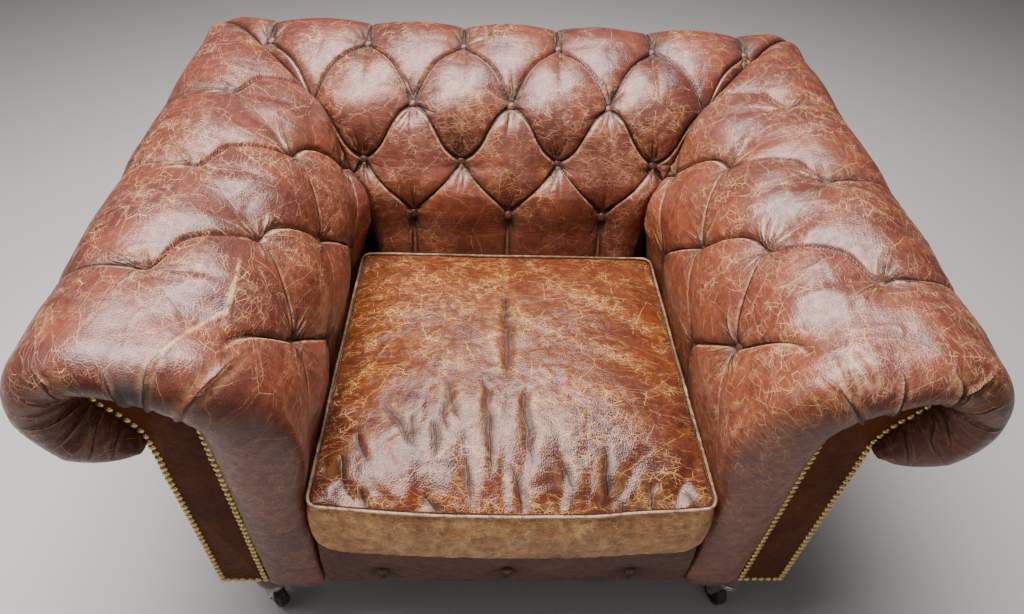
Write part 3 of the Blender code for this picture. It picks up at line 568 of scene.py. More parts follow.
def tuck_in(height: Grid, fold: Grid, normal: Grid, distance: Grid) -> tuple[Grid, Grid]:
    """Draw the leather down to a corner seam.

    Args:
        height: Heights above the section.
        fold: How much painted shade of a fold each place has.
        normal: Directions (u, z) out of the leather.
        distance: Distance from the seam.

    Returns:
        The heights, which don't lean past the seam, and the folds, with painted shade added in the
        valley at the seam.
    """
    taper, valley, clear = 0.04, 0.006, 0.85
    height = height * np.sin(np.clip(distance / taper, 0.0, 1.0) * math.pi / 2) ** 0.7
    lean = clear * distance / np.maximum(-normal[..., 0], 1e-6)
    height = np.minimum(height, np.where(normal[..., 0] < 0.0, lean, 1.0))
    # Painted shade in the valley along the corner seam.
    return height, np.maximum(fold, np.exp(-((distance / valley) ** 2)))


def joined_rows(*parts: tuple[float, float, int]) -> Grid:
    """Row numbers in parts of (from, to, count), up to the end row."""
    joined = [np.linspace(low, high, count, endpoint=False) for low, high, count in parts]
    return np.concatenate([*joined, [float(SIZES.end_row)]])


def widened(values: dict[str, Grid], ends: tuple[slice, ...]) -> dict[str, Grid]:
    """The values of a skin with its end columns repeated for the hidden points of its loops.

    Args:
        values: Named numbers for the points of the skin.
        ends: The columns to repeat behind it, in order.

    Returns:
        The widened values.
    """
    return {
        key: np.concatenate((value, *(value[:, end] for end in ends)), axis=1)
        for key, value in values.items()
    }


def points_of(mesh: bpy.types.Mesh) -> Grid:
    """Read the points of a mesh.

    Args:
        mesh: The mesh.

    Returns:
        Points (x, y, z).
    """
    flat = np.empty(3 * len(mesh.vertices))
    mesh.vertices.foreach_get("co", flat)
    return flat.reshape(-1, 3)


def path_lengths(points: Grid) -> Grid:
    """Distance along a line of points from its start to each point."""
    return np.concatenate(([0.0], np.cumsum(np.linalg.norm(np.diff(points, axis=0), axis=1))))


def keep_values(mesh: bpy.types.Mesh, name: str, values: Grid) -> None:
    """Keep a number, or a place on the hide, on each point of a mesh.

    Args:
        mesh: The mesh.
        name: Name of the values.
        values: One number, or three, for each point.
    """
    flat = np.ascontiguousarray(values, dtype=np.float32)
    if flat.size == 3 * len(mesh.vertices):
        mesh.attributes.new(name, "FLOAT_VECTOR", "POINT").data.foreach_set("vector", flat.ravel())
    else:
        mesh.attributes.new(name, "FLOAT", "POINT").data.foreach_set("value", flat.ravel())


def grid_faces(index: Grid) -> Grid:
    """Faces between the points of a grid of point numbers, as a list of four numbers each."""
    corners = (index[:-1, :-1], index[1:, :-1], index[1:, 1:], index[:-1, 1:])
    return np.stack(corners, axis=-1).reshape(-1, 4)


def hide_place(x: Grid, y: Grid, shift: float = 0.0) -> Grid:
    """Places on the hide that a piece was cut from, in metres."""
    return np.stack((x + 1.7 * shift, y + 0.9 * shift, np.zeros_like(x)), axis=-1)


def add_to_scene(name: str, data: bpy.types.ID) -> bpy.types.Object:
    """Put a mesh, a light or a camera in the scene.

    Args:
        name: Name of the object.
        data: What it shows.

    Returns:
        The new object.
    """
    item = bpy.data.objects.new(name, data)
    bpy.context.scene.collection.objects.link(item)
    return item


def finish_mesh(name: str, mesh: bpy.types.Mesh) -> bpy.types.Object:
    """Turn faces outwards, shade smooth and put the mesh in the scene.

    Args:
        name: Name of the piece.
        mesh: Its mesh.

    Returns:
        The new object.
    """
    bm = bmesh.new()
    bm.from_mesh(mesh)
    bmesh.ops.recalc_face_normals(bm, faces=bm.faces)
    bm.to_mesh(mesh)
    bm.free()
    mesh.shade_smooth()
    return add_to_scene(name, mesh)


def add_lathe(bm: bmesh.types.BMesh, profile: list[Pair], segments: int, place: Matrix) -> None:
    """Add a form, turned about its own Z and moved into place, to a mesh in progress.

    Args:
        bm: The mesh in progress.
        profile: Pairs of radius and height, running upwards; the ends are closed.
        segments: Sides round the form.
        place: Where it stands.
    """
    rings = []
    for radius, z in profile:
        loop = []
        for i in range(segments):
            angle = 2 * math.pi * (i + 0.5) / segments
            point = Vector((radius * math.cos(angle), radius * math.sin(angle), z))
            loop.append(bm.verts.new(place @ point))
        rings.append(loop)
    for lower, upper in zip(rings, rings[1:]):
        for i in range(segments):
            j = (i + 1) % segments
            bm.faces.new((lower[i], lower[j], upper[j], upper[i]))
    bm.faces.new(rings[0][::-1])
    bm.faces.new(rings[-1])


def mesh_object(name: str, bm: bmesh.types.BMesh, sharp: float = 40.0) -> bpy.types.Object:
    """Turn a mesh in progress into an object.

    Args:
        name: Name of the piece.
        bm: The mesh in progress, which is freed.
        sharp: Angle in degrees above which an edge stays sharp.

    Returns:
        The new object.
    """
    mesh = bpy.data.meshes.new(name)
    bm.to_mesh(mesh)
    bm.free()
    item = finish_mesh(name, mesh)
    mesh.set_sharp_from_angle(angle=math.radians(sharp))
    return item


def dress(item: bpy.types.Object, material: bpy.types.Material, slot: Slot, *nodes: str) -> None:
    """Give a piece of the chair's body its finish, and hide the solids that it stands for.

    Args:
        item: The piece.
        material: Its finish.
        slot: Not used.
        nodes: Names of the solids it replaces.
    """
    item.data.materials.clear()
    item.data.materials.append(material)
    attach(item, CHAIR_BODY)
    if nodes:
        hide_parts(*nodes)
    LOG.info("made %s", item.name)


def arm_place(side: int, u: Grid, d: Grid, z: Grid) -> Grid:
    """From an arm's own (u, d, z) to the chair."""
    return np.stack((side * (SIZES.seat_half_width + u), SIZES.facing_front_y + d, z), axis=-1)


def back_place(x: Grid, u: Grid, z: Grid) -> Grid:
    """From the back's own (x, u, z) to the chair."""
    return np.stack((x, SIZES.facing_front_y + SIZES.seat_depth + u, z), axis=-1)


# ---- finishes ----


class Nodes:
    """A short way to wire the nodes of one material."""

    def __init__(self, name: str, on_hide: bool = False) -> None:
        """Make an empty material with its shader.

        Args:
            name: Name of the material.
            on_hide: Whether patterns lie flat on the hide, or run through the solid.
        """
        self.material = bpy.data.materials.new(name)
        self.material.use_nodes = True
        self.tree = self.material.node_tree
        self.shader = self.tree.nodes["Principled BSDF"]
        self.space = "2D" if on_hide else "3D"
        if on_hide:
            self.where = self.kept("hide").outputs["Vector"]
        else:
            self.where = self.tree.nodes.new("ShaderNodeTexCoord").outputs["Object"]

    def kept(self, name: str) -> bpy.types.Node:
        """Read what is kept on the points of the mesh.

        Args:
            name: Name that it is kept under.

        Returns:
            The node that reads it.
        """
        node = self.add("Attribute")
        node.attribute_type = "GEOMETRY"
        node.attribute_name = name
        return node

    def link(self, source: Value, target: Socket) -> None:
        """Join an output, or put a plain value or colour, to an input.

        Args:
            source: Output, number, or colour or vector of the input's own length or one less.
            target: The input.
        """
        if isinstance(source, Socket):
            self.tree.links.new(source, target)
        elif isinstance(source, tuple) and len(source) < len(target.default_value):
            target.default_value = (*source, 1.0)
        else:
            target.default_value = source

    def add(self, kind: str, **inputs: Value) -> bpy.types.Node:
        """A new node of a kind.

        Args:
            kind: Kind of node.
            inputs: What goes to its inputs by name, with _ for a space.

        Returns:
            The node.
        """
        node = self.tree.nodes.new("ShaderNode" + kind)
        for name, value in inputs.items():
            self.link(value, node.inputs[name.replace("_", " ")])
        return node

    def stretch(self, scale: RGB, turn: float = 0.0, source: Socket | None = None) -> Socket:
        """Coordinates scaled along each axis and turned about Z."""
        node = self.add("Mapping", Vector=source or self.where, Scale=scale, Rotation=(0.0, 0.0, turn))
        return node.outputs["Vector"]

    def noise(
        self, scale: float, detail: float = 3.0, rough: float = 0.55,
        source: Socket | None = None, colour: bool = False,
    ) -> Socket:
        """Noise, from 0 to 1.

        Args:
            scale: Cells in a metre.
            detail: Octaves.
            rough: Strength of the finer octaves.
            source: Coordinates, if not those of the hide.
            colour: Whether three values are wanted.

        Returns:
            The noise.
        """
        where = source or self.where
        node = self.add("TexNoise", Vector=where, Scale=scale, Detail=detail, Roughness=rough)
        node.noise_dimensions = self.space
        return node.outputs["Color" if colour else "Fac"]

    def cells(self, scale: float, source: Socket | None = None, edge: bool = True) -> Socket:
        """Distance to the edges of cells, or to their centres.

        Args:
            scale: Cells in a metre.
            source: Coordinates, if not those of the hide.
            edge: Whether the edges are wanted.

        Returns:
            The distance in cells.
        """
        node = self.add("TexVoronoi", Vector=source or self.where, Scale=scale)
        node.voronoi_dimensions = self.space
        node.feature = "DISTANCE_TO_EDGE" if edge else "F1"
        return node.outputs["Distance"]

    def warped(self, amount: float, scale: float) -> Socket:
        """Coordinates pushed about by noise.

        Args:
            amount: How far, in metres.
            scale: Cells of the noise in a metre.

        Returns:
            The coordinates.
        """
        node = self.add("VectorMath")
        node.operation = "MULTIPLY_ADD"
        sources = (self.noise(scale, 3.0, 0.6, colour=True), (amount, amount, amount), self.where)
        for source, target in zip(sources, node.inputs):
            self.link(source, target)
        return node.outputs["Vector"]

    def math(self, operation: str, a: Value, b: Value = 0.0, clamp: bool = False) -> Socket:
        """One step of arithmetic.

        Args:
            operation: Name of the step.
            a: First value.
            b: Second value.
            clamp: Whether the result is held between 0 and 1.

        Returns:
            The result.
        """
        node = self.add("Math")
        node.operation = operation
        node.use_clamp = clamp
        self.link(a, node.inputs[0])
        self.link(b, node.inputs[1])
        return node.outputs["Value"]

    def times(self, a: Value, b: Value, clamp: bool = False) -> Socket:
        """The product of two values."""
        return self.math("MULTIPLY", a, b, clamp)

    def plus(self, a: Value, b: Value, clamp: bool = False) -> Socket:
        """The sum of two values."""
        return self.math("ADD", a, b, clamp)

    def less(self, a: Value, b: Value) -> Socket:
        """The first value less the second."""
        return self.math("SUBTRACT", a, b)

    def most(self, a: Value, b: Value, clamp: bool = False) -> Socket:
        """The larger of two values."""
        return self.math("MAXIMUM", a, b, clamp)

    def ramp(
        self, value: Socket, low: float, high: float, start: float = 0.0, end: float = 1.0
    ) -> Socket:
        """Read a value smoothly between two limits.

        Args:
            value: What is read.
            low: Lower limit.
            high: Upper limit.
            start: Result at the lower limit.
            end: Result at the upper limit.

        Returns:
            The result.
        """
        limits = {"From_Min": low, "From_Max": high, "To_Min": start, "To_Max": end}
        node = self.add("MapRange", Value=value, **limits)
        node.interpolation_type = "SMOOTHSTEP"
        return node.outputs["Result"]

    def contour(self, scale: float, width: float, detail: float) -> Socket:
        """Long curving lines, where noise crosses its middle."""
        return self.lines(self.math("ABSOLUTE", self.less(self.noise(scale, detail, 0.5), 0.5)), width)

    def lines(self, distance: Socket, width: float) -> Socket:
        """Thin lines, where a distance is under a width."""
        return self.ramp(distance, 0.0, width, 1.0, 0.0)

    def mix(self, share: Value, low: Value, high: Value) -> Socket:
        """Mix two colours.

        Args:
            share: How much of the second.
            low: First colour.
            high: Second colour.

        Returns:
            The mixed colour.
        """
        node = self.add("Mix")
        node.data_type = "RGBA"
        for source, number in ((share, 0), (low, 6), (high, 7)):
            self.link(source, node.inputs[number])
        return node.outputs[2]

    def value_of(self, name: str) -> Socket:
        """A number kept on the points of the mesh."""
        return self.kept(name).outputs["Fac"]

    def places_of(self, name: str) -> tuple[Socket, ...]:
        """The three numbers kept on the points of the mesh under one name."""
        return tuple(self.add("SeparateXYZ", Vector=self.kept(name).outputs["Vector"]).outputs)

    def beside(self, value: Socket) -> Socket:
        """Signed distance of a value from the nearest whole number."""
        return self.less(value, self.math("ROUND", value))

    def band(self, value: Socket, middle: float, half: float) -> Socket:
        """1 in the middle of a band of values, and 0 outside it."""
        off = self.math("ABSOLUTE", self.less(value, middle))
        return self.ramp(off, 0.25 * half, half, 1.0, 0.0)

    def bump(self, height: Socket, distance: float, strength: float) -> Socket:
        """A bump of a height in metres."""
        return self.add("Bump", Height=height, Distance=distance, Strength=strength).outputs["Normal"]

    def done(
        self, colour: Value, roughness: Value, normal: Socket | None = None, **plain: Value
    ) -> bpy.types.Material:
        """Join colour, roughness and normal to the shader, and set its plain values.

        Args:
            colour: Socket or colour.
            roughness: Socket or number.
            normal: Socket of a bump.
            plain: Other sockets of the shader by name, with _ for a space.

        Returns:
            The material.
        """
        self.link(colour, self.shader.inputs["Base Color"])
        self.link(roughness, self.shader.inputs["Roughness"])
        if normal is not None:
            self.link(normal, self.shader.inputs["Normal"])
        for key, value in plain.items():
            self.shader.inputs[key.replace("_", " ")].default_value = value
        return self.material


@dataclass(frozen=True)
class AgedLeather:
    """Waxed brown leather, crackled and rubbed."""

    name: str
    dark: RGB = (0.032, 0.009, 0.008)
    body: RGB = (0.118, 0.032, 0.026)
    warm: RGB = (0.22, 0.058, 0.027)
    crack: RGB = (0.67, 0.365, 0.18)
    cracking: float = 0.95
    rubbing: float = 0.3
    roughness: float = 0.37
    grain: float = 0.0003
    crack_width: float = 1.0
    specular: float = 0.55
    coat: float = 0.1
    mottling: float = 0.5

    def build(self) -> bpy.types.Material:
        """Wire the material.

        Returns:
            The material.
        """
        n = Nodes(self.name, on_hide=True)
        fold, worn, red = n.value_of("fold"), n.value_of("worn"), n.value_of("red")
        lines, network = self.crackle(n, worn)
        pleats, lips = self.pleat_lines(n)
        creases, edges = self.crease_lines(n)
        pleats = n.most(pleats, creases)
        lips = n.most(n.most(lips, edges), n.value_of("pale"), clamp=True)

        broad = n.ramp(n.noise(6.0, 3.0, 0.6), 0.35, 0.68)
        colour = n.mix(broad, self.body, tuple(0.55 * c for c in self.body))
        warm = n.times(n.ramp(n.noise(10.0, 5.0, 0.65), 0.4, 0.68), 0.6)
        warm = n.plus(warm, n.times(red, 0.65), clamp=True)
        colour = n.mix(warm, colour, self.warm)
        mottle = n.ramp(n.noise(70.0, 5.0, 0.72), 0.34, 0.72)
        colour = n.mix(n.times(mottle, self.mottling), colour, self.dark)

        rubbed = n.times(n.ramp(n.noise(45.0, 6.0, 0.75), 0.44, 0.7), network)
        rubbed = n.times(rubbed, self.rubbing, clamp=True)
        colour = n.mix(rubbed, colour, self.crack)
        colour = n.mix(lines, colour, self.crack)
        frayed = n.times(lips, n.ramp(n.noise(90.0, 4.0, 0.7), 0.34, 0.55, 0.15, 0.85))
        colour = n.mix(frayed, colour, self.crack)
        # Painted shade: the folds, button pits and seam valleys are darkened, and the pleat and crease
        # lines are drawn almost black where the creases lie in shade.
        colour = n.mix(n.times(fold, 0.85, clamp=True), colour, tuple(0.4 * c for c in self.dark))
        colour = n.mix(n.times(pleats, 0.92), colour, tuple(0.16 * c for c in self.dark))
        colour = n.mix(n.value_of("grey"), colour, (0.04, 0.05, 0.054))

        rough = n.ramp(mottle, 0.0, 1.0, self.roughness - 0.07, self.roughness + 0.05)
        rough = n.plus(rough, n.times(n.most(lines, rubbed), 0.22), clamp=True)
        rough = n.plus(rough, n.times(n.value_of("grey"), 0.25), clamp=True)
        rough = n.plus(rough, n.times(fold, 0.3), clamp=True)

        height = n.times(n.cells(420.0, edge=False), self.grain)
        height = n.plus(height, n.times(n.noise(60.0, 5.0, 0.65), 0.0011))
        height = n.plus(height, n.times(n.noise(20.0, 2.0, 0.5), 0.003))
        height = n.less(height, n.times(pleats, 0.0016))
        normal = n.bump(height, 1.0, 0.8)
        return n.done(colour, rough, normal, Specular_IOR_Level=self.specular, Coat_Weight=self.coat,
                      Coat_Roughness=0.25, Specular_Tint=(1.0, 0.82, 0.8, 1.0))

    def crackle(self, n: Nodes, worn: Socket) -> tuple[Socket, Socket]:
        """Thin pale cracks, closer together where the leather is worn.

        Args:
            n: The material in progress.
            worn: How worn each place is.

        Returns:
            How much of a crack each place is, and how densely cracked it is.
        """
        bent = n.warped(0.01, 30.0)
        wide, fine, sweep, cross, scratch_a, scratch_b = (
            n.lines(n.cells(scale, n.stretch((1.0, narrow, 1.0), turn, bent)), width * self.crack_width)
            for scale, narrow, turn, width in (
                (30.0, 1.5, 0.9, 0.017), (75.0, 1.6, -0.4, 0.032), (9.0, 2.6, 0.35, 0.0055),
                (9.0, 2.6, -1.0, 0.0055), (20.0, 4.5, 0.6, 0.015), (20.0, 4.5, -0.7, 0.015),
            )
        )
        hair = n.lines(n.cells(170.0, bent), 0.06 * self.crack_width)
        patches = n.plus(n.ramp(n.noise(8.0, 3.0, 0.6), 0.42, 0.66), worn, clamp=True)
        spots = n.ramp(n.noise(19.0, 3.0, 0.6), 0.38, 0.58)
        breaks = n.ramp(n.noise(60.0, 2.0), 0.32, 0.56)
        dense = n.times(patches, spots)
        swept = n.times(n.most(sweep, cross), 0.8)
        lines = n.most(swept, n.times(wide, dense))
        scratches = n.times(n.most(scratch_a, scratch_b), n.times(patches, 0.9))
        lines = n.most(lines, scratches)
        lines = n.most(lines, n.times(fine, n.times(dense, 0.75)))
        worst = n.times(n.ramp(worn, 0.5, 1.0), dense)
        lines = n.most(lines, n.times(hair, n.times(worst, 0.8)))
        lines = n.times(n.times(lines, breaks), self.cracking, clamp=True)
        return lines, n.times(dense, n.plus(worn, 0.25), clamp=True)

    def crease_lines(self, n: Nodes) -> tuple[Socket, Socket]:
        """Thin dark lines of painted shade in the fine creases, and the worn lip beside each.

        Args:
            n: The material in progress.

        Returns:
            How much of a line, and how much of a lip, each place is.
        """
        off, strength, _ = n.places_of("crease")
        waver = n.times(n.less(n.noise(55.0, 3.0), 0.5), 0.0045)
        at = n.plus(off, waver)
        line = n.times(n.band(at, 0.0, 0.0018), strength)
        lip = n.times(n.band(at, 0.0026, 0.0018), n.times(strength, 0.6))
        return line, lip

    def pleat_lines(self, n: Nodes) -> tuple[Socket, Socket]:
        """Thin dark lines of painted shade in the pleats, and the worn lip beside each.

        Args:
            n: The material in progress.

        Returns:
            How much of a line, and how much of a lip, each place is.
        """
        first, second, present = n.places_of("pleat")
        waver = n.times(n.less(n.noise(26.0, 2.0), 0.5), 0.02)
        at_first = n.beside(n.plus(first, waver))
        at_second = n.beside(n.plus(second, waver))
        other = n.value_of("second")
        crossing = n.times(n.band(at_second, 0.0, 0.015), other)
        line = n.most(n.band(at_first, 0.0, 0.0165), crossing)
        crossing = n.times(n.band(at_second, -0.022, 0.012), n.times(other, 0.6))
        lip = n.most(n.band(at_first, -0.022, 0.016), crossing)
        return n.times(line, present), n.times(n.times(lip, present), 0.75)


@dataclass(frozen=True)
class PlainLeather:
    """Smoother satin leather of the facings and the outside."""

    name: str
    body: RGB = (0.15, 0.036, 0.004)
    dark: RGB = (0.07, 0.016, 0.003)
    roughness: float = 0.5

    def build(self) -> bpy.types.Material:
        """Wire the material.

        Returns:
            The material.
        """
        n = Nodes(self.name, on_hide=True)
        colour = n.mix(n.ramp(n.noise(6.0, 4.0, 0.65), 0.34, 0.72), self.body, self.dark)
        fine = n.noise(110.0, 4.0, 0.65)
        colour = n.mix(n.ramp(fine, 0.35, 0.75, 0.0, 0.3), colour, self.dark)
        lines = n.times(n.contour(24.0, 0.012, 3.0), n.ramp(n.noise(9.0, 3.0), 0.5, 0.7, 0.0, 0.3))
        colour = n.mix(lines, colour, (0.3, 0.14, 0.06))
        rough = n.ramp(fine, 0.25, 0.75, self.roughness - 0.06, self.roughness + 0.1)
        height = n.times(n.cells(400.0, edge=False), 0.0003)
        height = n.plus(height, n.times(fine, 0.0008))
        return n.done(colour, rough, n.bump(height, 1.0, 0.7), Specular_IOR_Level=0.08)


@dataclass(frozen=True)
class Timber:
    """Wood with its grain."""

    name: str
    light: RGB
    dark: RGB
    roughness: float
    gloss: float = 0.0

    def build(self) -> bpy.types.Material:
        """Wire the material.

        Returns:
            The material.
        """
        n = Nodes(self.name)
        along = n.stretch((14.0, 3.0, 14.0), 0.2)
        rings = n.noise(3.0, 6.0, 0.65, along)
        fibres = n.noise(40.0, 4.0, 0.6, n.stretch((10.0, 1.2, 10.0), 0.2))
        streaks = n.ramp(fibres, 0.4, 0.8, 0.0, 0.4)
        share = n.plus(n.ramp(rings, 0.35, 0.65, 0.0, 0.7), streaks, clamp=True)
        colour = n.mix(share, self.light, self.dark)
        rough = n.ramp(fibres, 0.2, 0.8, self.roughness - 0.06, self.roughness + 0.1)
        normal = n.bump(fibres, 0.0004, 0.4)
        return n.done(colour, rough, normal, Coat_Weight=self.gloss, Coat_Roughness=0.25)


@dataclass(frozen=True)
class Woven:
    """A plain weave, such as jute webbing or black cover cloth."""

    name: str
    light: RGB
    dark: RGB
    threads: float
    roughness: float = 0.92

    def build(self) -> bpy.types.Material:
        """Wire the material.

        Returns:
            The material.
        """
        n = Nodes(self.name)
        split = n.add("SeparateXYZ", Vector=n.warped(0.0012, 60.0))
        turns = 2 * math.pi * self.threads
        weave = n.times(*(n.math("SINE", n.times(split.outputs[way], turns)) for way in "XY"))
        fuzz = n.ramp(n.noise(160.0, 4.0), 0.3, 0.8, -0.3, 0.3)
        share = n.plus(n.ramp(weave, -1.0, 1.0), fuzz, clamp=True)
        colour = n.mix(share, self.dark, self.light)
        normal = n.bump(weave, 0.0006, 0.7)
        return n.done(colour, self.roughness, normal, Sheen_Weight=0.3, Sheen_Roughness=0.5)


@dataclass(frozen=True)
class Plate:
    """Metal with tarnish and small scratches."""

    name: str
    bright: RGB
    tarnish: RGB
    roughness: float
    tarnishing: float = 0.5

    def build(self) -> bpy.types.Material:
        """Wire the material.

        Returns:
            The material.
        """
        n = Nodes(self.name)
        spots = n.ramp(n.noise(260.0, 6.0, 0.7), 0.4, 0.72)
        share = n.times(spots, self.tarnishing, clamp=True)
        colour = n.mix(share, self.bright, self.tarnish)
        rough = n.plus(n.times(share, 0.35), self.roughness)
        normal = n.bump(n.noise(600.0, 4.0, 0.7), 0.0002, 0.4)
        return n.done(colour, rough, normal, Metallic=1.0)


@dataclass(frozen=True)
class Moulded:
    """Scuffed dark plastic of the caster wheels."""

    name: str
    body: RGB = (0.02, 0.018, 0.017)
    dust: RGB = (0.12, 0.105, 0.09)

    def build(self) -> bpy.types.Material:
        """Wire the material.

        Returns:
            The material.
        """
        n = Nodes(self.name)
        scuffs = n.ramp(n.noise(180.0, 6.0, 0.7), 0.48, 0.78, 0.0, 0.7)
        colour = n.mix(scuffs, self.body, self.dust)
        rough = n.plus(n.times(scuffs, 0.3), 0.45)
        return n.done(colour, rough, n.bump(n.noise(300.0, 5.0), 0.0003, 0.5))


@dataclass
class Wardrobe:
    """All the finishes of the chair, built once."""

    made: dict[str, bpy.types.Material] = field(default_factory=dict)

    def build(self) -> None:
        """Build every finish."""
        for finish in (
            AgedLeather("tufted_leather"),
            AgedLeather("cushion_leather", body=(0.066, 0.017, 0.014), warm=(0.15, 0.038, 0.011),
                        crack=(0.86, 0.47, 0.16), cracking=1.0, rubbing=0.08, roughness=0.24,
                        crack_width=0.8, specular=0.4, coat=0.0, mottling=0.6),
            # Border leather: its darker body is painted shade for its place under the cushion; its
            # lighter cracking and rubbing are its own.
            AgedLeather("border_leather_with_painted_shade", body=(0.078, 0.02, 0.014), warm=(0.12, 0.031, 0.013),
                        cracking=0.35, rubbing=0.1, roughness=0.42, specular=0.35, coat=0.0),
            AgedLeather("boxing_leather", dark=(0.09, 0.032, 0.012), body=(0.56, 0.235, 0.07),
                        warm=(0.58, 0.25, 0.075), crack=(0.9, 0.56, 0.24), cracking=1.0,
                        rubbing=0.6, roughness=0.46, crack_width=1.3, specular=0.4, grain=0.0007,
                        mottling=0.55),
            # Buttons: the dark grey-brown of the covered buttons, made darker still as painted shade of
            # the pits they sit in.
            AgedLeather("button_leather", dark=(0.03, 0.011, 0.009), body=(0.085, 0.032, 0.025),
                        warm=(0.12, 0.045, 0.03), crack=(0.42, 0.25, 0.15), cracking=0.3,
                        rubbing=0.3, roughness=0.34, specular=0.4, coat=0.0),
            AgedLeather("welt_leather", dark=(0.05, 0.025, 0.017), body=(0.17, 0.095, 0.06),
                        warm=(0.16, 0.075, 0.04), crack=(0.64, 0.45, 0.29), cracking=0.7,
                        rubbing=0.6, roughness=0.55, specular=0.3),
            PlainLeather("facing_leather"),
            PlainLeather("outside_leather", body=(0.11, 0.034, 0.02), dark=(0.055, 0.016, 0.011)),
            Timber("beech", (0.48, 0.33, 0.19), (0.3, 0.18, 0.09), 0.68),
            Timber("dark_wood", (0.12, 0.045, 0.022), (0.035, 0.014, 0.009), 0.32, 0.5),
            Woven("webbing", (0.36, 0.27, 0.16), (0.12, 0.085, 0.05), 420.0),
            Woven("deck_cloth", (0.075, 0.058, 0.045), (0.03, 0.022, 0.018), 900.0),
            Woven("cover_cloth", (0.03, 0.03, 0.03), (0.008, 0.008, 0.008), 700.0),
            Plate("steel", (0.56, 0.55, 0.53), (0.16, 0.14, 0.12), 0.28),
            Plate("antique_brass", (0.7, 0.51, 0.2), (0.13, 0.085, 0.03), 0.26, 0.65),
            Moulded("wheel_plastic"),
        ):
            self.made[finish.name] = finish.build()

    def __getitem__(self, name: str) -> bpy.types.Material:
        """The finish of a name."""
        return self.made[name]


# ---- pieces ----


ROLL_GATHERS = {
    "left": (
        Seam(((3.1, 0.02), (3.04, 0.084), (2.93, 0.122), (2.58, 0.206)), 0.0036, 0.005, 0.45, 0.7),
        Seam(((3.52, 0.02), (3.52, 0.086), (3.52, 0.106), (3.46, 0.128), (3.4, 0.145)),
             0.0044, 0.0034, 1.0, 0.9),
        Seam(((3.44, 0.13), (3.22, 0.189), (3.04, 0.216), (3.14, 0.319)), 0.0008, 0.003, 0.0, 0.9),
        Seam(((3.85, 0.02), (3.88, 0.06), (3.96, 0.086), (4.1, 0.112)), 0.006, 0.004, 0.9, 0.7),
        Seam(((5.2, 0.02), (4.9, 0.05), (4.76, 0.079), (4.85, 0.11)), 0.006, 0.0042, 0.8, 0.5),
        Seam(((5.5, 0.01), (5.45, 0.018), (5.36, 0.06), (5.33, 0.088)), 0.006, 0.0042, 0.8, 0.5),
        Seam(((5.85, 0.01), (5.82, 0.045), (5.78, 0.075)), 0.0042, 0.0034, 0.6, 0.4),
        Seam(((6.38, 0.006), (6.25, 0.039), (6.17, 0.058), (6.1, 0.085)), 0.0058, 0.0042, 0.8, 0.5),
        Seam(((6.6, 0.01), (6.62, 0.022), (6.67, 0.046), (6.7, 0.075)), 0.005, 0.0038, 0.7, 0.5),
        Seam(((6.96, 0.008), (6.96, 0.017), (7.21, 0.047), (7.3, 0.075)), 0.005, 0.0038, 0.7, 0.5),
        Seam(((7.5, 0.01), (7.6, 0.06)), 0.0036, 0.0036, 0.6, 0.3),
    ),
    "right": (
        Seam(((3.25, 0.02), (3.14, 0.078), (3.06, 0.111), (2.9, 0.15)), 0.005, 0.004, 0.8, 0.8),
        Seam(((3.17, 0.105), (3.17, 0.126), (3.17, 0.155)), 0.0024, 0.0034, 0.3, 0.9),
        Seam(((3.68, 0.02), (3.68, 0.079), (3.71, 0.103), (3.62, 0.122)), 0.006, 0.0038, 1.0, 0.7),
        Seam(((3.38, 0.11), (3.33, 0.134), (3.3, 0.155)), 0.0024, 0.0034, 0.3, 0.9),
        Seam(((4.9, 0.02), (4.6, 0.06), (4.33, 0.1), (4.39, 0.13)), 0.006, 0.0042, 0.9, 0.5),
        Seam(((5.00, 0.02), (4.6, 0.075), (4.82, 0.098), (5.00, 0.125)), 0.0056, 0.0042, 0.8, 0.6),
        Seam(((5.4, 0.02), (5.21, 0.068), (5.39, 0.088)), 0.0056, 0.0042, 0.8, 0.6),
        Seam(((5.8, 0.01), (5.76, 0.027), (5.97, 0.058), (6.00, 0.085)), 0.0058, 0.0042, 0.8, 0.5),
        Seam(((6.38, 0.01), (6.38, 0.022), (6.83, 0.057)), 0.005, 0.0038, 0.7, 0.5),
        Seam(((6.62, 0.01), (6.62, 0.017), (6.96, 0.032), (7.1, 0.065)), 0.005, 0.0038, 0.7, 0.5),
        Seam(((7.4, 0.01), (7.6, 0.06)), 0.0036, 0.0036, 0.6, 0.3),
    ),
}


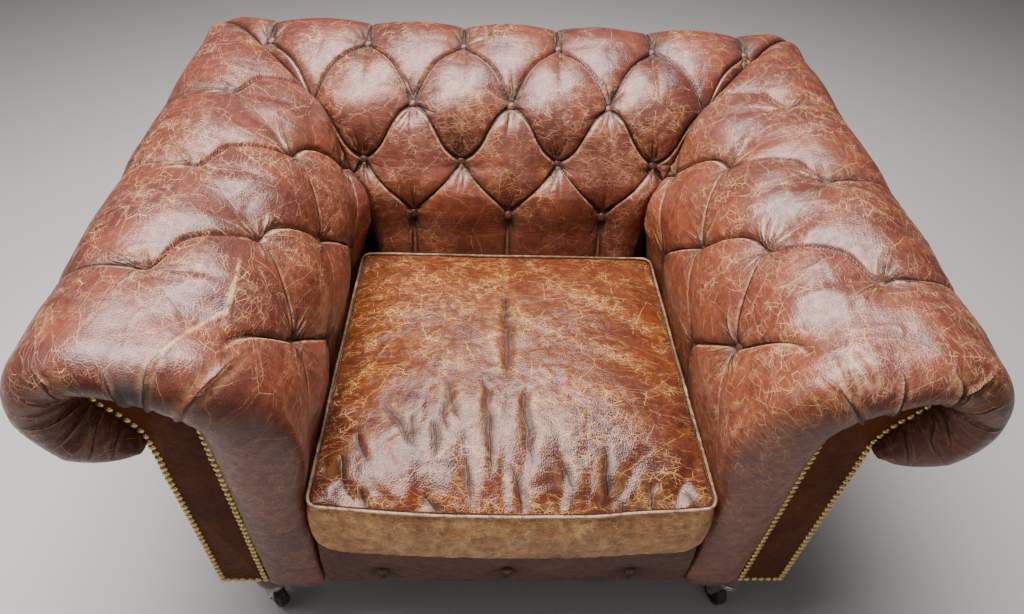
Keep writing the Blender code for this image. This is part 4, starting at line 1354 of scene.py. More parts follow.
@dataclass
class ArmPad:
    """Tufted inside of one arm, with its roll, its wrapped front and its buttons."""

    name: str
    side: int
    wardrobe: Wardrobe
    seed: int
    pleats: PleatShape = PleatShape(bend=0.06, arch=0.26, skew=1.15, second_set=0.12,
                                    second_low=0.85, split=0.0)
    front_steps: int = 30
    skin_steps: int = 280
    straight: float = 0.4

    def rows(self) -> Grid:
        """Row numbers, closer together where the buttons are."""
        return joined_rows((0.0, 1.0, 16), (1.0, 4.0, 132), (4.0, 6.0, 84), (6.0, 8.0, 60))

    def match(self, rho: Grid) -> Grid:
        """How far the arm takes the back's section at the corner."""
        return np.interp(rho, (0.6, 1.0), (0.0, 1.0))

    def seam(self, rho: Grid) -> Grid:
        """Distance behind the facing at which the leather meets the corner seam."""
        return SIZES.seat_depth + SECTION.point(rho, self.match(rho))[..., 0]

    def share(self, rho: Grid, d: Grid) -> Grid:
        """How much of the back's section the arm has at a distance."""
        lateness = np.interp(rho, (1.0, 3.0), (6.0, 1.0))
        return self.match(rho) * np.clip(d / self.seam(rho), 0.0, 1.0) ** lateness

    def button_places(self) -> list[tuple[int, float]]:
        """Find the buttons that are clear of the corner seam.

        Returns:
            Row and distance of each.
        """
        places = []
        for row in range(1, SIZES.top_row + 1):
            column = row % 2
            limit = float(self.seam(np.array(float(row)))) - 0.02
            while SIZES.first_button + column * SIZES.arm_pitch < limit:
                places.append((row, SIZES.first_button + column * SIZES.arm_pitch))
                column += 2
        return places

    def skin(self) -> tuple[Grid, dict[str, Grid], Grid]:
        """Points of the leather from the facing to the corner seam.

        Returns:
            Points (u, d, z), values for the finish, and the row numbers.
        """
        rho = self.rows()
        r = rho[:, None]
        seam = self.seam(rho)[:, None] - SIZES.fit_gap
        nominal = SIZES.seat_depth + SECTION.ARM_CENTRE[0]
        step = np.linspace(0.0, nominal, self.skin_steps + 1)[None, :]
        beyond = (step - self.straight) * (seam - self.straight) / (nominal - self.straight)
        late = self.straight + beyond
        d = np.where(step > self.straight, late, step + 0.0 * seam)
        r = r + 0.0 * d
        share = self.share(r, d)
        column = (d - SIZES.first_button) / SIZES.arm_pitch
        relief = self.pleats.heights(r, column)
        height, fold = relief.height, relief.fold
        plain = 0.85 * pillow_rise(r)
        blend = np.clip((column + 0.95) / 0.55, 0.0, 1.0)
        height = plain + (height - plain) * blend
        fold = fold * blend
        pleat = relief.pleat.copy()
        pleat[..., 2] *= blend
        normal = SECTION.normal(r, share)
        height, tucked = tuck_in(height, fold, normal, np.maximum(seam - d, 0.0))
        fold = np.where(r > 0.9, tucked, fold)
        uz = SECTION.point(r, share) + height[..., None] * normal
        body = np.stack((uz[..., 0], d, uz[..., 1]), axis=-1)
        front, arc = self.front(rho, body[:, 0, :])
        points = np.concatenate((front, body), axis=1)
        arc = np.concatenate((arc, arc[:, -1:] + 0.004 + d), axis=1)
        zero = np.zeros((len(rho), front.shape[1]))
        fold = np.concatenate((zero, fold), axis=1)
        pleat = np.concatenate((np.zeros((*zero.shape, 3)), pleat), axis=1)
        last = front.shape[1] - 1
        along = np.concatenate((arc[:, : last + 1] - arc[:, last : last + 1], d), axis=1)
        rows = r[:, :1] + np.zeros_like(arc)
        moved, values = self.detail(points, rows, along, arc, fold)
        return moved, {**values, "pleat": pleat}, rho

    def front(self, rho: Grid, skin: Grid) -> tuple[Grid, Grid]:
        """The leather that swells over the arm front, from the facing to the skin.

        Args:
            rho: Row numbers.
            skin: First points of the skin.

        Returns:
            Points (u, d, z), and distances from the facing over the swell.
        """
        rows, bulge = (0.0, 0.6, 2.0, 3.2, 7.0, 8.0), (0.01, 0.022, 0.034, 0.046, 0.046, 0.02)
        swell = np.interp(rho, rows, bulge)[:, None]
        angle = (math.pi * np.arange(self.front_steps) / self.front_steps)[None, :]
        part = (1.0 - np.cos(angle)) / 2
        depth = swell * np.sin(angle)
        edge = SECTION.facing(rho)
        u = edge[:, :1] + part * (skin[:, :1] - edge[:, :1])
        z = edge[:, 1:] + part * (skin[:, 2:] - edge[:, 1:])
        points = np.stack((u, -depth, z), axis=-1)
        steps = np.linalg.norm(np.diff(points, axis=1), axis=2)
        arc = np.concatenate((np.zeros((len(rho), 1)), np.cumsum(steps, axis=1)), axis=1)
        return points, arc

    def detail(
        self, points: Grid, rho: Grid, along: Grid, arc: Grid, fold: Grid
    ) -> tuple[Grid, dict[str, Grid]]:
        """Press gathers, puckers and a soft unevenness into the leather, with painted shade in their
        grooves.

        Args:
            points: Points (u, d, z).
            rho: Row number of each point.
            along: Distance behind the facing of each point.
            arc: Distance from the facing's edge over the leather.
            fold: How much painted shade of a fold each point has already.

        Returns:
            The points, and values for the finish.
        """
        girth = SECTION.girth(rho, 0.0)
        buttons = [(d, SECTION.girth_of(row, 0.0)) for row, d in self.button_places()]
        strokes = Strokes(arc)
        depth, crease = Puckers(seed=self.seed).press(along, girth, buttons, strokes)
        # Painted shade in the pucker creases.
        fold = np.maximum(fold, 0.45 * crease)
        pale = 0.25 * crease
        for gather in ROLL_GATHERS[self.name]:
            path = tuple((d, SECTION.girth_of(row, 0.0)) for row, d in gather.path)
            off, part = Seam(path).closeness(arc, girth)
            width = 0.75 * gather.width * (1.15 - 0.5 * part)
            fade = smoothstep(0.002, 0.012, arc) * (1.0 - smoothstep(0.45, 1.0, part))
            groove = np.exp(-((off / width) ** 2)) * fade
            ridge = np.exp(-(((np.abs(off) - 2.4 * width) / (1.5 * width)) ** 2)) * fade
            depth = depth + 0.75 * gather.depth * groove - 0.2 * gather.depth * ridge
            # Painted shade in the gather's groove, and a thin dark line along it.
            fold = np.maximum(fold, 0.6 * gather.dark * groove)
            strokes.add(off, gather.dark * fade)
            even = np.exp(-((off / (0.8 * width)) ** 2)) * (1.0 - smoothstep(0.8, 1.0, part))
            pale = np.maximum(pale, gather.pale * np.where(gather.dark > 0.1, ridge * 0.4, even))
        soft = Ripple(self.seed + 10)
        depth = depth + 0.0016 * soft(along / 0.055, girth / 0.06)
        wrinkle = Ripple(self.seed + 20)
        stray = 0.5 * soft(along / 0.05, girth / 0.05)
        depth = depth + 0.0006 * wrinkle.ridges(along / 0.03 + stray, girth / 0.045)
        calm = smoothstep(0.0, 0.01, arc) * smoothstep(0.0, 0.15, rho)
        calm = calm * smoothstep(0.0, 0.2, 8.0 - rho)
        moved = points - (depth * calm)[..., None] * directions_out(points)
        patches = smoothstep(0.0, 0.7, Ripple(self.seed + 30)(along / 0.11, girth / 0.09))
        worn = 0.12 + 0.45 * patches + 0.25 * np.exp(-(((rho - 4.6) / 0.9) ** 2))
        lower = 1.0 - smoothstep(1.6, 3.6, rho)
        red = np.clip(lower + 0.25, 0.0, 1.0) if self.side > 0 else 0.55 * lower
        grey = np.zeros_like(rho)
        if self.side < 0:
            blot = np.exp(-(((rho - 3.7) / 0.28) ** 4) - ((arc - 0.055) / 0.04) ** 4)
            grey = 0.9 * blot * (0.75 + 0.25 * Ripple(self.seed + 40)(along / 0.012, girth / 0.012))
        values = {
            "fold": fold, "worn": worn, "red": red, "pale": pale, "grey": grey,
            "second": self.pleats.second_share(rho), "hide": hide_place(arc, girth, self.seed),
            "crease": strokes.places(),
        }
        return moved, values

    def build(self) -> None:
        """Build the leather and the buttons."""
        points, values, rho = self.skin()
        edge = SECTION.facing(rho)
        hollow_front, hollow_back = (SECTION.hollow(rho, share) for share in (0.0, 1.0))
        board = np.full(len(rho), SIZES.facing_thickness)
        behind = SIZES.seat_depth + hollow_back[:, 0] - SIZES.fit_gap
        tuck, rear, inner = (
            np.stack((line[:, 0], d, line[:, 1]), axis=-1)
            for line, d in ((edge, board), (hollow_back, behind), (hollow_front, board))
        )
        ring = np.concatenate((tuck[:, None], points, rear[:, None], inner[:, None]), axis=1)
        placed = arm_place(self.side, ring[..., 0], ring[..., 1], ring[..., 2])
        tucked = {key: np.concatenate((value[:, :1], value), axis=1) for key, value in values.items()}
        padded = widened(tucked, (LAST, LAST))
        item = skin_mesh("arm_leather_" + self.name, placed, padded)
        dress(item, self.wardrobe["tufted_leather"], Slot.TUFTED, "inside_arm_" + self.name)
        self.build_buttons()

    def build_buttons(self) -> None:
        """Build the covered buttons of this arm."""
        places = []
        for row, d in self.button_places():
            rho = np.array(float(row))
            share = self.share(rho, np.array(d))
            u, z = SECTION.point(rho, share)
            n_u, n_z = SECTION.normal(rho, share)
            where = arm_place(self.side, np.array(u), np.array(d), np.array(z))
            places.append((Vector(where), Vector((self.side * n_u, 0.0, n_z))))
        item = covered_buttons("arm_buttons_" + self.name, places, -0.0034)
        dress(item, self.wardrobe["button_leather"], Slot.TUFTED)


def covered_buttons(
    name: str, places: list[tuple[Vector, Vector]], rise: float = 0.0
) -> bpy.types.Object:
    """Leather-covered buttons at several places.

    Args:
        name: Name of the piece.
        places: Foot and direction of each button.
        rise: How far each stands further out.

    Returns:
        The piece, with the values that its finish reads.
    """
    shape = ((0.55, -0.0065), (0.86, -0.004), (1.00, -0.0005), (1.00, 0.0018), (0.93, 0.0038),
             (0.78, 0.0054), (0.56, 0.0066), (0.3, 0.0073), (0.08, 0.0075))
    bm = bmesh.new()
    for foot, way in places:
        turn = Vector((0, 0, 1)).rotation_difference(way).to_matrix().to_4x4()
        place = Matrix.Translation(foot + rise * way.normalized()) @ turn
        profile = [(SIZES.button_radius * radius, z) for radius, z in shape]
        add_lathe(bm, profile, 20, place)
    item = mesh_object(name, bm, 70.0)
    set_values(item, fold=0.0, worn=0.45, red=0.0)
    return item


def set_values(item: bpy.types.Object, **values: float) -> None:
    """Keep one number for each name on all the points of a piece, and a place on the hide.

    Args:
        item: The piece.
        values: The numbers.
    """
    co = points_of(item.data)
    for key, value in values.items():
        keep_values(item.data, key, np.full(len(co), value))
    keep_values(item.data, "hide", hide_place(co[:, 0] + 0.4 * co[:, 1], co[:, 2] + 0.7 * co[:, 1]))


@dataclass
class BackPad:
    """Tufted inside of the back, with its roll and its buttons."""

    wardrobe: Wardrobe
    pleats: PleatShape = PleatShape()
    half_steps: int = 150
    seed: int = 3

    def rows(self) -> Grid:
        """Row numbers from above the webbing to the underside of the roll."""
        foot = 0.5 * (SIZES.pad_bottom_z - SIZES.foot_z) / (SECTION.BACK_ROWS[1][1] - SIZES.foot_z)
        return joined_rows((foot, 1.0, 24), (1.0, 4.0, 140), (4.0, 6.0, 76), (6.0, 8.0, 50))

    def button_places(self) -> list[tuple[int, float]]:
        """Find the buttons that are clear of the corner seams.

        Returns:
            Row and x of each.
        """
        places = []
        for row in range(1, SIZES.top_row + 1):
            limit = SIZES.seat_half_width + float(SECTION.back(np.array(float(row)))[0]) - 0.02
            for column in range(-6, 7):
                if (row + column) % 2 == 1 and abs(column * SIZES.back_pitch) < limit:
                    places.append((row, column * SIZES.back_pitch))
        return places

    def build(self) -> None:
        """Build the leather and the buttons."""
        rho = self.rows()
        one = np.ones_like(rho)
        seam = (SIZES.seat_half_width + SECTION.point(rho, one)[:, 0] - SIZES.fit_gap)[:, None]
        nominal = SIZES.seat_half_width + SECTION.BACK_CENTRE[0]
        straight = 2 * SIZES.back_pitch
        step = np.linspace(-nominal, nominal, 2 * self.half_steps + 1)[None, :]
        part = (np.abs(step) - straight) / (nominal - straight)
        late = np.sign(step) * (straight + part * (seam - straight))
        x = np.where(np.abs(step) > straight, late, step + 0 * seam)
        r = rho[:, None] + 0.0 * x
        relief = self.pleats.heights(r, x / SIZES.back_pitch + 1.0)
        height, fold = relief.height, relief.fold
        height = height + np.where(r < 1.0, 0.008 * np.sin(math.pi * np.clip(r * 1.15, 0.0, 1.0)), 0.0)
        share = np.ones_like(r)
        normal = SECTION.normal(r, share)
        distance = np.maximum(seam - np.abs(x), 0.0)
        height, fold = tuck_in(height, fold, normal, distance)
        uz = SECTION.point(r, share) + height[..., None] * normal
        points = np.stack((x, uz[..., 0], uz[..., 1]), axis=-1)

        girth = SECTION.girth(r, 1.0)
        buttons = [(bx, SECTION.girth_of(row, 1.0)) for row, bx in self.button_places()]
        fans = Puckers(self.seed, count=21, reach=0.066, ways=(math.pi / 2, -math.pi / 2), spread=0.42)
        strokes = Strokes(x)
        depth, crease = fans.press(x, girth, buttons, strokes)
        # Painted shade in the pucker creases.
        fold = np.maximum(fold, 0.55 * crease)
        soft = Ripple(self.seed + 10)
        depth = depth + 0.0014 * soft(x / 0.055, girth / 0.06)
        wrinkle = Ripple(self.seed + 20)
        stray = 0.5 * soft(x / 0.05, girth / 0.05)
        depth = depth + 0.0005 * wrinkle.ridges(x / 0.03, girth / 0.045 + stray)
        out = directions_out(points)
        calm = smoothstep(0.0, 0.012, distance) * smoothstep(0.0, 0.2, 8.0 - r)
        points = points + (depth * calm)[..., None] * out * self.way(out)
        points[0, :, 2] = SIZES.pad_bottom_z
        hollow = SECTION.hollow(rho, 1.0)
        end_x = SIZES.seat_half_width + hollow[:, 0] - SIZES.fit_gap
        right = np.stack((end_x, hollow[:, 0], hollow[:, 1]), axis=-1)[:, None]
        left = np.stack((-end_x, hollow[:, 0], hollow[:, 1]), axis=-1)[:, None]
        right[0, 0, 2] = left[0, 0, 2] = SIZES.pad_bottom_z
        ring = np.concatenate((points, right, left), axis=1)
        placed = back_place(ring[..., 0], ring[..., 1], ring[..., 2])
        patches = smoothstep(0.0, 0.7, Ripple(self.seed + 30)(x / 0.11, girth / 0.09))
        worn = 0.08 + 0.4 * patches + 0.3 * np.exp(-(((r - 2.6) / 0.5) ** 2))
        values = {
            "fold": fold, "worn": worn, "red": 0.6 * (1.0 - smoothstep(1.6, 3.4, r)),
            "pleat": relief.pleat, "second": np.ones_like(x), "pale": 0.2 * crease,
            "hide": hide_place(x, girth, self.seed), "crease": strokes.places(),
        }
        padded = widened(values, (LAST, FIRST))
        item = skin_mesh("back_leather", placed, padded)
        dress(item, self.wardrobe["tufted_leather"], Slot.TUFTED, "inside_back")
        self.build_buttons()

    def way(self, out: Grid) -> float:
        """Sign that turns a grid's normals into the leather."""
        middle = out[out.shape[0] // 3, out.shape[1] // 2]
        return -1.0 if middle[1] < 0.0 else 1.0

    def build_buttons(self) -> None:
        """Build the covered buttons of the back."""
        places = []
        for row, x in self.button_places():
            u, z = SECTION.point(np.array(float(row)), np.array(1.0))
            n_u, n_z = SECTION.normal(np.array(float(row)), np.array(1.0))
            where = back_place(np.array(x), np.array(u), np.array(z))
            places.append((Vector(where), Vector((0.0, n_u, n_z))))
        item = covered_buttons("back_buttons", places, -0.0022)
        dress(item, self.wardrobe["button_leather"], Slot.TUFTED)


@dataclass
class FrontBorder:
    """Padded leather border under the cushion, with three buttons."""

    wardrobe: Wardrobe
    half_width: float = 0.284
    back_d: float = 0.0323
    swell: float = 0.019
    button_x: float = 0.197
    button_z: float = 0.208

    def build(self) -> None:
        """Build the leather and the buttons."""
        columns, rows = 240, 48
        x = np.linspace(-self.half_width, self.half_width, columns + 1)[:, None]
        j = np.arange(rows + 1)[None, :]
        z = SIZES.foot_z + (SIZES.deck_top_z - SIZES.foot_z) * j / rows
        x, z = np.broadcast_arrays(x, z)
        height = self.swell * np.sin(math.pi * (j + 4.8) / (rows + 9.6)) ** 0.6 + 0.0 * x
        fold = np.zeros_like(x)
        for centre in (-self.button_x, 0.0, self.button_x):
            reach = np.hypot(x - centre, z - self.button_z)
            height = height * np.minimum(1.0, 0.22 + (reach / 0.055) ** 0.8)
            below = smoothstep(0.0, 0.01, self.button_z - z)
            groove = np.exp(-(((x - centre) / 0.0035) ** 2)) * below
            height = height - 0.0045 * groove
            # Painted shade in the groove under each button and round the button itself.
            fold = np.maximum(fold, np.maximum(0.8 * groove, np.exp(-((reach / 0.018) ** 2))))
        buttons = [(bx, self.button_z) for bx in (-self.button_x, 0.0, self.button_x)]
        strokes = Strokes(x)
        depth, crease = Puckers(seed=8, count=8, depth=0.0018, reach=0.05).press(x, z, buttons, strokes)
        height = height - depth - 0.0008 * Ripple(9)(x / 0.05, z / 0.04)
        # Painted shade in the pucker creases.
        fold = np.maximum(fold, 0.5 * crease)
        y = SIZES.facing_front_y + SIZES.facing_thickness - height
        skin = np.stack((x, y, z), axis=-1)
        rear_y = SIZES.facing_front_y + self.back_d
        top = skin[:, -1:].copy()
        bottom = skin[:, :1].copy()
        top[..., 1] = rear_y
        bottom[..., 1] = rear_y
        ring = np.concatenate((skin, top, bottom), axis=1)
        worn = 0.12 + 0.25 * smoothstep(0.0, 0.7, Ripple(4)(x / 0.1, z / 0.1))
        values = {
            "fold": fold, "worn": worn, "red": np.full_like(x, 0.55),
            "hide": hide_place(x, z, 5.0), "crease": strokes.places(),
        }
        padded = widened(values, (LAST, FIRST))
        # The border's darker leather is painted shade for its place under the cushion.
        item = skin_mesh("border_leather_with_painted_shade", ring, padded)
        dress(item, self.wardrobe["border_leather_with_painted_shade"], Slot.TUFTED, "front_border")
        face = SIZES.facing_front_y + SIZES.facing_thickness - 0.0055
        places = [(Vector((bx, face, bz)), Vector((0.0, -1.0, 0.0))) for bx, bz in buttons]
        knobs = covered_buttons("border_buttons", places)
        dress(knobs, self.wardrobe["button_leather"], Slot.TUFTED)


@dataclass
class Facing:
    """Leather-covered board on an arm front, edged with brass nails."""

    name: str
    side: int
    wardrobe: Wardrobe
    seed: int
    nail_pitch: float = 0.0116
    nail_radius: float = 0.0053
    nail_inset: float = 0.0058

    def outline(self) -> Grid:
        """The edge of the board, up its inner side and down its outer side.

        Returns:
            Points (u, z).
        """
        rho = np.linspace(0.0, 8.0, 170)[:-1]
        edge = SECTION.facing(rho)
        edge[0, 1] = SIZES.foot_z
        end_z = float(SECTION.facing(np.array(8.0))[1])
        outer = SIZES.facing_outer_u - SIZES.fit_gap
        down = np.linspace(min(end_z, edge[-1, 1] - 0.002), SIZES.foot_z, 60)
        across = np.linspace(outer, SIZES.facing_inner_u, 12)[1:-1]
        return np.concatenate((
            edge, np.stack((np.full_like(down, outer), down), axis=-1),
            np.stack((across, np.full_like(across, SIZES.foot_z)), axis=-1),
        ))

    def inset(self, outline: Grid, amount: float) -> Grid:
        """The outline drawn in.

        Args:
            outline: Points (u, z).
            amount: How far.

        Returns:
            The points drawn in.
        """
        run = np.roll(outline, -1, axis=0) - np.roll(outline, 1, axis=0)
        run /= np.linalg.norm(run, axis=1, keepdims=True)
        return outline + amount * np.stack((run[:, 1], -run[:, 0]), axis=-1)

    def build(self) -> None:
        """Build the board and its nails."""
        outline = self.outline()
        steps = ((0.0003, SIZES.facing_thickness), (0.0003, 0.0022), (0.0009, 0.0008), (0.0022, 0.0),
                 (0.005, -0.0007), (0.0085, -0.0013))
        loops = []
        for inset, d in steps:
            edge = self.inset(outline, inset)
            loops.append(arm_place(self.side, edge[:, 0], np.full(len(edge), d), edge[:, 1]))
        ring = np.stack(loops)
        hide = hide_place(ring[..., 0], ring[..., 2], self.seed)
        item = skin_mesh("facing_leather_" + self.name, ring, {"hide": hide})
        dress(item, self.wardrobe["facing_leather"], Slot.FACING, "facing_" + self.name)
        self.build_nails()

    def nail_lines(self) -> list[Grid]:
        """Lines of nails.

        Returns:
            Points (u, z) of the outer side with the scroll, the inner side and the foot.
        """
        outer = SIZES.facing_outer_u - self.nail_inset
        inner = SIZES.facing_inner_u + self.nail_inset
        low = SIZES.foot_z + self.nail_inset
        u, z = SECTION.ARM_CENTRE
        scroll = ((outer, low), (outer, 0.45), (outer + 0.0005, 0.553), (outer + 0.007, 0.583),
                  (outer + 0.019, 0.606), (u + 0.017, z - 0.004), (u + 0.021, z + 0.012))
        knots = np.array((0.0, 1.0, 2.0, 2.6, 3.2, 3.7, 4.0))
        outer_line = Hermite(knots, np.array(scroll))(np.linspace(0.0, 4.0, 400))
        inner_line = np.stack((np.full(200, inner), np.linspace(low, 0.61, 200)), axis=-1)
        foot = np.stack((np.linspace(inner + 0.0116, outer - 0.008, 50), np.full(50, low)), axis=-1)
        return [outer_line, inner_line, foot]

    def build_nails(self) -> None:
        """Build the row of domed nail heads."""
        draw = np.random.default_rng(self.seed)
        bm = bmesh.new()
        shape = ((0.8, 0.0), (1.0, 0.0), (0.98, 0.0008), (0.85, 0.0019), (0.58, 0.0028),
                 (0.25, 0.0032))
        for line in self.nail_lines():
            length = path_lengths(line)
            count = max(int(length[-1] / self.nail_pitch), 1)
            for at in np.linspace(0.0, length[-1], count + 1):
                u = np.interp(at, length, line[:, 0]) + draw.normal(0.0, 0.0003)
                z = np.interp(at, length, line[:, 1]) + draw.normal(0.0, 0.0003)
                where = Vector(arm_place(self.side, np.array(u), np.array(-0.0006), np.array(z)))
                lean = Vector((draw.normal(0.0, 0.05), -1.0, draw.normal(0.0, 0.05)))
                turn = Vector((0, 0, 1)).rotation_difference(lean).to_matrix().to_4x4()
                profile = [(self.nail_radius * radius, rise) for radius, rise in shape]
                add_lathe(bm, profile, 12, Matrix.Translation(where) @ turn)
        item = mesh_object("facing_nails_" + self.name, bm, 60.0)
        dress(item, self.wardrobe["antique_brass"], Slot.FACING)


@dataclass
class SeatCushion:
    """Loose boxed cushion: its cloth is blown up round its sewn edges, then creased."""

    wardrobe: Wardrobe
    half_width: float = 0.2765
    taper: float = 0.009
    front_d: float = -0.02
    back_d: float = 0.502
    height: float = 0.112
    corner: float = 0.014
    columns: int = 80
    rows: int = 76
    sides: int = 16
    crown: float = 0.017
    swell_cap: float = 0.014
    welt_radius: float = 0.0023
    bow: float = 0.012
    sag: float = 0.024

    def plan(self, a: Grid, b: Grid) -> tuple[Grid, Grid]:
        """Round the corners of a square grid.

        Args:
            a: Place across, from -1 to 1.
            b: Place from front to back, from -1 to 1.

        Returns:
            x and y on the chair.
        """
        half_y = (self.back_d - self.front_d) / 2
        x, y = a * self.half_width, b * half_y
        s = np.clip((np.abs(x) - (self.half_width - self.corner)) / self.corner, 0.0, 1.0)
        t = np.clip((np.abs(y) - (half_y - self.corner)) / self.corner, 0.0, 1.0)
        x = x - np.sign(x) * self.corner * s * (1.0 - np.sqrt(1.0 - t * t / 2))
        y = y - np.sign(y) * self.corner * t * (1.0 - np.sqrt(1.0 - s * s / 2))
        x = x * (1.0 - self.taper / self.half_width * (b + 1) / 2)
        return x, y + self.middle_y()

    def middle_y(self) -> float:
        """The y of the middle of the cushion."""
        return SIZES.facing_front_y + (self.back_d + self.front_d) / 2

    def rim(self) -> tuple[Grid, Grid]:
        """The edge of the grid as an ordered loop.

        Returns:
            a and b of each place.
        """
        a = np.linspace(-1.0, 1.0, self.columns + 1)
        b = np.linspace(-1.0, 1.0, self.rows + 1)
        loop_a = np.concatenate((a[:-1], np.ones(self.rows), a[:0:-1], -np.ones(self.rows)))
        loop_b = np.concatenate((-np.ones(self.columns), b[:-1], np.ones(self.columns), b[:0:-1]))
        return loop_a, loop_b

    def case(self) -> tuple[bpy.types.Object, Grid]:
        """The cushion cover before it is filled.

        Returns:
            The object, and 1 for each point on a sewn edge.
        """
        bottom = SIZES.deck_top_z + SIZES.fit_gap
        top = bottom + self.height
        a = np.linspace(-1.0, 1.0, self.columns + 1)[:, None]
        b = np.linspace(-1.0, 1.0, self.rows + 1)[None, :]
        a, b = np.broadcast_arrays(a, b)
        x, y = self.plan(a, b)
        dome = self.crown * (1.0 - a**4) * (1.0 - b**4)
        upper = np.stack((x, y, top + dome), axis=-1)
        middle_y = self.middle_y()
        drawn_in = 0.982
        lower_y = middle_y + drawn_in * (y - middle_y)
        lower = np.stack((drawn_in * x, lower_y, np.full_like(x, bottom)), axis=-1)
        points = [*upper.reshape(-1, 3).tolist(), *lower.reshape(-1, 3).tolist()]
        index = np.arange(x.size).reshape(x.shape)
        up = grid_faces(index)
        down = index.size + up[:, [0, 3, 2, 1]]
        faces = np.stack((up, down), axis=1).reshape(-1, 4).tolist()
        loop_a, loop_b = self.rim()
        i = np.rint((loop_a + 1) / 2 * self.columns).astype(int)
        j = np.rint((loop_b + 1) / 2 * self.rows).astype(int)
        edge = index[i, j]
        rim_x, rim_y = self.plan(loop_a, loop_b)
        loops = [edge]
        for step in range(1, self.sides):
            z = top + (bottom - top) * step / self.sides
            part = step / self.sides
            bulge = 1.0 + 0.018 * math.sin(math.pi * part) ** 0.8
            bulge -= 0.018 * max(0.0, part - 0.75) / 0.25
            ring = (rim_x * bulge, middle_y + (rim_y - middle_y) * bulge, np.full_like(rim_x, z))
            loops.append(len(points) + np.arange(len(edge)))
            points += np.stack(ring, axis=-1).tolist()
        loops.append(edge + index.size)
        for above, below in zip(loops, loops[1:]):
            quads = (above, below, np.roll(below, -1), np.roll(above, -1))
            faces += np.stack(quads, axis=-1).tolist()
        mesh = bpy.data.meshes.new("cushion_leather")
        mesh.from_pydata(points, [], faces)
        item = finish_mesh("cushion_leather", mesh)
        mark = np.zeros(len(points))
        mark[[*edge, *loops[-1]]] = 1.0
        return item, mark

    def fill(self, item: bpy.types.Object, mark: Grid) -> None:
        """Blow the cover up as cloth, with its sewn edges held, and keep the result.

        Args:
            item: The cover.
            mark: 1 for each point on a sewn edge.
        """
        before = points_of(item.data)
        held = item.vertex_groups.new(name="sewn_edges")
        held.add([int(i) for i in np.nonzero(mark)[0]], 1.0, "REPLACE")
        low = before[:, 2] < SIZES.deck_top_z + 0.002
        held.add([int(i) for i in np.nonzero(low)[0]], 1.0, "REPLACE")
        cloth = item.modifiers.new("filling", "CLOTH")
        cloth.settings.quality = 6
        cloth.settings.mass = 0.4
        cloth.settings.tension_stiffness = 22.0
        cloth.settings.compression_stiffness = 22.0
        cloth.settings.shear_stiffness = 12.0
        cloth.settings.bending_stiffness = 1.2
        cloth.settings.vertex_group_mass = "sewn_edges"
        cloth.settings.use_pressure = True
        cloth.settings.uniform_pressure_force = 3.0
        cloth.settings.shrink_min = -0.03
        cloth.settings.effector_weights.gravity = 0.0
        cloth.collision_settings.use_collision = False
        scene = bpy.context.scene
        for step in range(1, 21):
            scene.frame_set(step)
        evaluated = item.evaluated_get(bpy.context.evaluated_depsgraph_get())
        after = points_of(evaluated.data)
        item.modifiers.remove(cloth)
        scene.frame_set(1)
        moved = after - before
        length = np.linalg.norm(moved, axis=1, keepdims=True)
        moved *= self.swell_cap * np.tanh(length / self.swell_cap) / np.maximum(length, 1e-9)
        item.data.vertices.foreach_set("co", (before + moved).ravel())
        item.data.update()
        LOG.info("cushion cloth moved up to %.1f mm", 1000 * float(length.max()))

    def build(self) -> None:
        """Build the cushion and its welt."""
        item, mark = self.case()
        self.fill(item, mark)
        smooth = item.modifiers.new("smooth", "SUBSURF")
        smooth.levels = smooth.render_levels = 1
        apply_modifiers(item)
        sides = self.boxing_faces(item)
        self.press_creases(item)
        dress(item, self.wardrobe["cushion_leather"], Slot.CUSHION, "seat_cushion")
        item.data.materials.append(self.wardrobe["boxing_leather"])
        for index in sides:
            item.data.polygons[index].material_index = 1
        self.build_welt()

    def hang(self, points: Grid) -> Grid:
        """Bow the front of the cushion forwards and let its foot hang over the border.

        Args:
            points: Points on the chair.

        Returns:
            The moved points.
        """
        d = points[:, 1] - SIZES.facing_front_y
        bottom = SIZES.deck_top_z + SIZES.fit_gap
        down = np.clip((bottom + self.height - points[:, 2]) / self.height, 0.0, 1.0)
        waver = Ripple(46)(points[:, 0] / 0.09, np.zeros(len(d)) + 0.5)
        middle = np.clip(1.0 - (points[:, 0] / self.half_width) ** 2, 0.0, 1.0) + 0.25 * waver
        near = 1.0 - smoothstep(0.0, 0.12, d - self.front_d)
        moved = points.copy()
        moved[:, 1] -= self.bow * middle * near
        over = 1.0 - smoothstep(-0.019, -0.01, d - self.bow * middle * near)
        moved[:, 2] -= 0.5 * self.bow * middle * near * (1.0 - down) + self.sag * down**2 * over
        return moved

